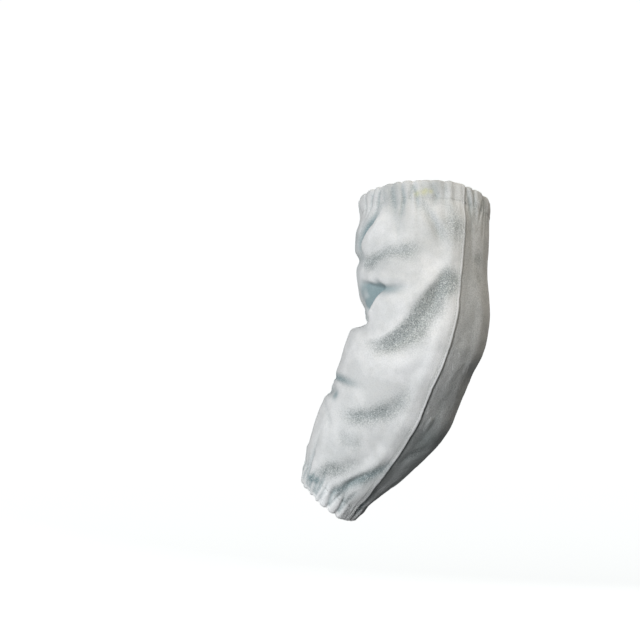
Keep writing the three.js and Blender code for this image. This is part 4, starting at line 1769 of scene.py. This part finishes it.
@dataclass
class Stitching:
    """All the rows of thread that show on the outside of the sleeve."""

    relief: Relief
    front: LeatherPanel
    tree: bpy.types.NodeTree
    thread: bpy.types.Material
    pitch: float = 3.6
    length: float = 2.9
    thickness: float = 0.75
    path_step: float = 1.2
    sink: float = 0.25

    def seam_path(self, hidden: bool) -> np.ndarray:
        """Lay a path beside a long seam, on the upper panel.

        Args:
            hidden: Whether this is the seam on the far side.

        Returns:
            Points in metres.
        """
        form, hem = self.relief.form, self.relief.hem
        reach = form.length - 2 * hem.rim
        distance = hem.rim + np.linspace(2, reach - 2, round(reach / self.path_step))
        inset = self.relief.stitch_inset / form.radius(distance)
        angle = form.seam(distance) + (math.pi - inset if hidden else inset)
        return self.on_leather(distance, angle)

    def hem_path(self, end: End) -> np.ndarray:
        """Lay a path round a hem's stitch row.

        Args:
            end: Which end.

        Returns:
            Points in metres.
        """
        form, hem = self.relief.form, self.relief.hem
        from_end = hem.rim + hem.depth
        place = from_end if end is End.UPPER else form.length - from_end
        around = 2 * math.pi * float(form.radius(np.array(place)))
        angle = np.linspace(0, 2 * math.pi, round(around / self.path_step))
        angle = angle + float(form.seam(np.array(place)))
        return self.on_leather(np.full_like(angle, place), angle)

    def on_leather(self, distance: np.ndarray, angle: np.ndarray) -> np.ndarray:
        """Find points on the outermost layer of leather.

        Args:
            distance: Distances along the arm's line.
            angle: Angles around the sleeve.

        Returns:
            The points in metres.
        """
        inside = np.mod(angle - self.relief.form.seam(distance), 2 * math.pi) <= math.pi
        lift = np.where(inside, self.front.lift(distance, angle), 0)
        height = self.relief.height(distance, angle) + lift + self.thickness / 2 - self.sink
        return self.relief.place(distance, angle, height)

    def row(self, name: str, points: np.ndarray, seed: int) -> bpy.types.Object:
        """Make one row of stitches as a plain mesh.

        Args:
            name: The piece's name.
            points: Its path in metres.
            seed: The number that picks its unevenness.

        Returns:
            The row's object, at the origin.
        """
        curve = bpy.data.curves.new(name + "_path", "CURVE")
        curve.dimensions = "3D"
        spline = curve.splines.new("POLY")
        spline.points.add(len(points) - 1)
        spline.points.foreach_set("co", np.c_[points, np.ones(len(points))].ravel())
        path = bpy.data.objects.new(name + "_path", curve)
        bpy.context.scene.collection.objects.link(path)
        modifier = path.modifiers.new("stitches", "NODES")
        modifier.node_group = self.tree
        values = {
            "Pitch": self.pitch * MM,
            "Length": self.length * MM,
            "Thickness": self.thickness * MM,
            "Seed": seed,
            "Thread": self.thread,
        }
        for socket in self.tree.interface.items_tree:
            if socket.in_out == "INPUT" and socket.name in values:
                modifier[socket.identifier] = values[socket.name]
        bpy.context.view_layer.update()
        graph = bpy.context.evaluated_depsgraph_get()
        mesh = bpy.data.meshes.new_from_object(path.evaluated_get(graph), depsgraph=graph)
        mesh.name = name
        if not mesh.materials:
            mesh.materials.append(self.thread)
        bpy.data.objects.remove(path)
        piece = bpy.data.objects.new(name, mesh)
        bpy.context.scene.collection.objects.link(piece)
        return piece

    def build(self) -> list[bpy.types.Object]:
        """Make every row and let it ride with the sleeve.

        Returns:
            The rows' objects.
        """
        paths = {
            "front_seam_stitches": self.seam_path(hidden=False),
            "back_seam_stitches": self.seam_path(hidden=True),
            "upper_hem_stitches": self.hem_path(End.UPPER),
            "wrist_hem_stitches": self.hem_path(End.WRIST),
        }
        pieces = []
        for seed, (name, points) in enumerate(paths.items()):
            piece = self.row(name, points, seed)
            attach(piece, "root")
            pieces.append(piece)
        return pieces


class Softbox(NamedTuple):
    """A square soft light: its name, place and size in metres, watts and tint."""

    name: str
    place_m: tuple[float, float, float]
    size_m: float
    watts: float
    tint: str


@dataclass(frozen=True)
class Studio:
    """A pale floor that sweeps up to a wall all round, soft lights and the camera."""

    camera_m: tuple[float, float, float] = (-0.11845, -2.2, -0.138)
    view_width_m: float = 0.736
    sensor_mm: float = 36.0
    floor_m: float = -0.9
    floor_rings_m: tuple[float, ...] = (0.6, 2.0)
    floor_radius_m: float = 3.2
    sweep_radius_m: float = 1.2
    wall_top_m: float = 3.2
    sweep_steps: int = 14
    sides: int = 96
    paint: PaintedWall = PaintedWall("painted_studio_sweep")
    aim_m: tuple[float, float, float] = (-0.03, -0.02, -0.17)
    softboxes: tuple[Softbox, ...] = (
        Softbox("key_softbox", (-1.0, -2.1, 0.9), 1.0, 30.0, "#fdfdff"),
        Softbox("front_softbox", (-1.7, -2.3, -0.5), 1.3, 53.0, "#fbfcff"),
        Softbox("side_softbox", (1.1, -0.6, 1.7), 0.6, 25.0, "#fff4e4"),
        Softbox("rear_softbox", (0.6, 2.4, 1.0), 1.6, 58.0, "#fdfcfa"),
    )
    air_tint: str = "#f3f5f7"
    air_glow: float = 0.12

    def camera(self) -> None:
        """Put the camera where the photograph was taken from."""
        data = bpy.data.cameras.new("camera")
        data.sensor_width = self.sensor_mm
        data.lens = self.sensor_mm * abs(self.camera_m[1]) / self.view_width_m
        camera = bpy.data.objects.new("camera", data)
        camera.location = self.camera_m
        camera.rotation_euler = (math.pi / 2, 0, 0)
        bpy.context.scene.collection.objects.link(camera)
        bpy.context.scene.camera = camera

    def sweep(self) -> None:
        """Build the floor and the wall as one turned sheet."""
        sides = self.sides
        arc = [
            (
                self.floor_radius_m + self.sweep_radius_m * math.sin(turn),
                self.floor_m + self.sweep_radius_m * (1 - math.cos(turn)),
            )
            for turn in np.linspace(0, math.pi / 2, self.sweep_steps)
        ]
        floor = [(radius, self.floor_m) for radius in self.floor_rings_m]
        profile = [*floor, *arc, (arc[-1][0], self.wall_top_m)]
        points = [(0.0, 0.0, self.floor_m)]
        for radius, height in profile:
            for side in range(sides):
                turn = 2 * math.pi * side / sides
                points.append((radius * math.cos(turn), radius * math.sin(turn), height))
        faces: list[tuple[int, ...]] = []
        for side in range(sides):
            after = (side + 1) % sides
            faces.append((0, 1 + side, 1 + after))
            for ring in range(len(profile) - 1):
                low, high = 1 + ring * sides, 1 + (ring + 1) * sides
                faces.append((low + side, high + side, high + after, low + after))
        mesh = bpy.data.meshes.new("studio_sweep")
        mesh.from_pydata(points, [], faces)
        mesh.shade_smooth()
        mesh.materials.append(self.paint.build())
        sweep = bpy.data.objects.new("studio_sweep", mesh)
        bpy.context.scene.collection.objects.link(sweep)
        sweep.visible_diffuse = False
        sweep.visible_glossy = False
        sweep.visible_shadow = False

    def hang(self, box: Softbox) -> None:
        """Hang a softbox that faces the sleeve.

        Args:
            box: The softbox.
        """
        data = bpy.data.lights.new(box.name, "AREA")
        data.shape = "SQUARE"
        data.size = box.size_m
        data.energy = box.watts
        data.color = linear(box.tint)[:3]
        light = bpy.data.objects.new(box.name, data)
        light.location = box.place_m
        aim = Vector(self.aim_m) - Vector(box.place_m)
        light.rotation_euler = aim.to_track_quat("-Z", "Y").to_euler()
        bpy.context.scene.collection.objects.link(light)

    def world(self) -> None:
        """Fill the room with weak pale light."""
        world = bpy.data.worlds.new("studio_air")
        bpy.context.scene.world = world
        world.use_nodes = True
        world.node_tree.nodes.clear()
        glow = add_node(
            world.node_tree,
            "ShaderNodeBackground",
            {"Color": linear(self.air_tint), "Strength": self.air_glow},
        )
        add_node(world.node_tree, "ShaderNodeOutputWorld", {"Surface": glow.outputs[0]})

    def build(self) -> None:
        """Build the whole studio."""
        bpy.context.scene.view_settings.view_transform = "Standard"
        self.camera()
        self.sweep()
        self.world()
        for box in self.softboxes:
            self.hang(box)


def main() -> None:
    """Load the frame, build the sleeve and the studio, and log what was built."""
    logging.basicConfig(level=logging.INFO, format="%(name)s: %(message)s")
    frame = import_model()
    Studio().build()
    form = SleeveForm()
    relief = Relief(form, Hem())
    leather = SPLIT_LEATHER.build()
    panels = [
        LeatherPanel(Side.FRONT, relief, leather, (0.27, 0.455), 0.105, FRONT_LIGHT_AND_SHADE),
        LeatherPanel(Side.BACK, relief, leather, (0.30, 0.455), 0.118, BACK_LIGHT_AND_SHADE),
    ]
    for panel in panels:
        piece = panel.build()
        panel.dress(piece)
        LOG.info("%s: %d faces", piece.name, len(piece.data.polygons))
    stitching = Stitching(relief, panels[0], StitchTree().build(), SPUN_THREAD.build())
    for piece in stitching.build():
        LOG.info("%s: %d faces", piece.name, len(piece.data.polygons))
    elastic = KNITTED_ELASTIC.build()
    for name in ("upper_elastic", "wrist_elastic"):
        band = frame["nodes"][name]
        band.data.materials.clear()
        band.data.materials.append(elastic)
        LOG.info("%s: finished as %s", name, elastic.name)


if __name__ == "__main__":
    main()
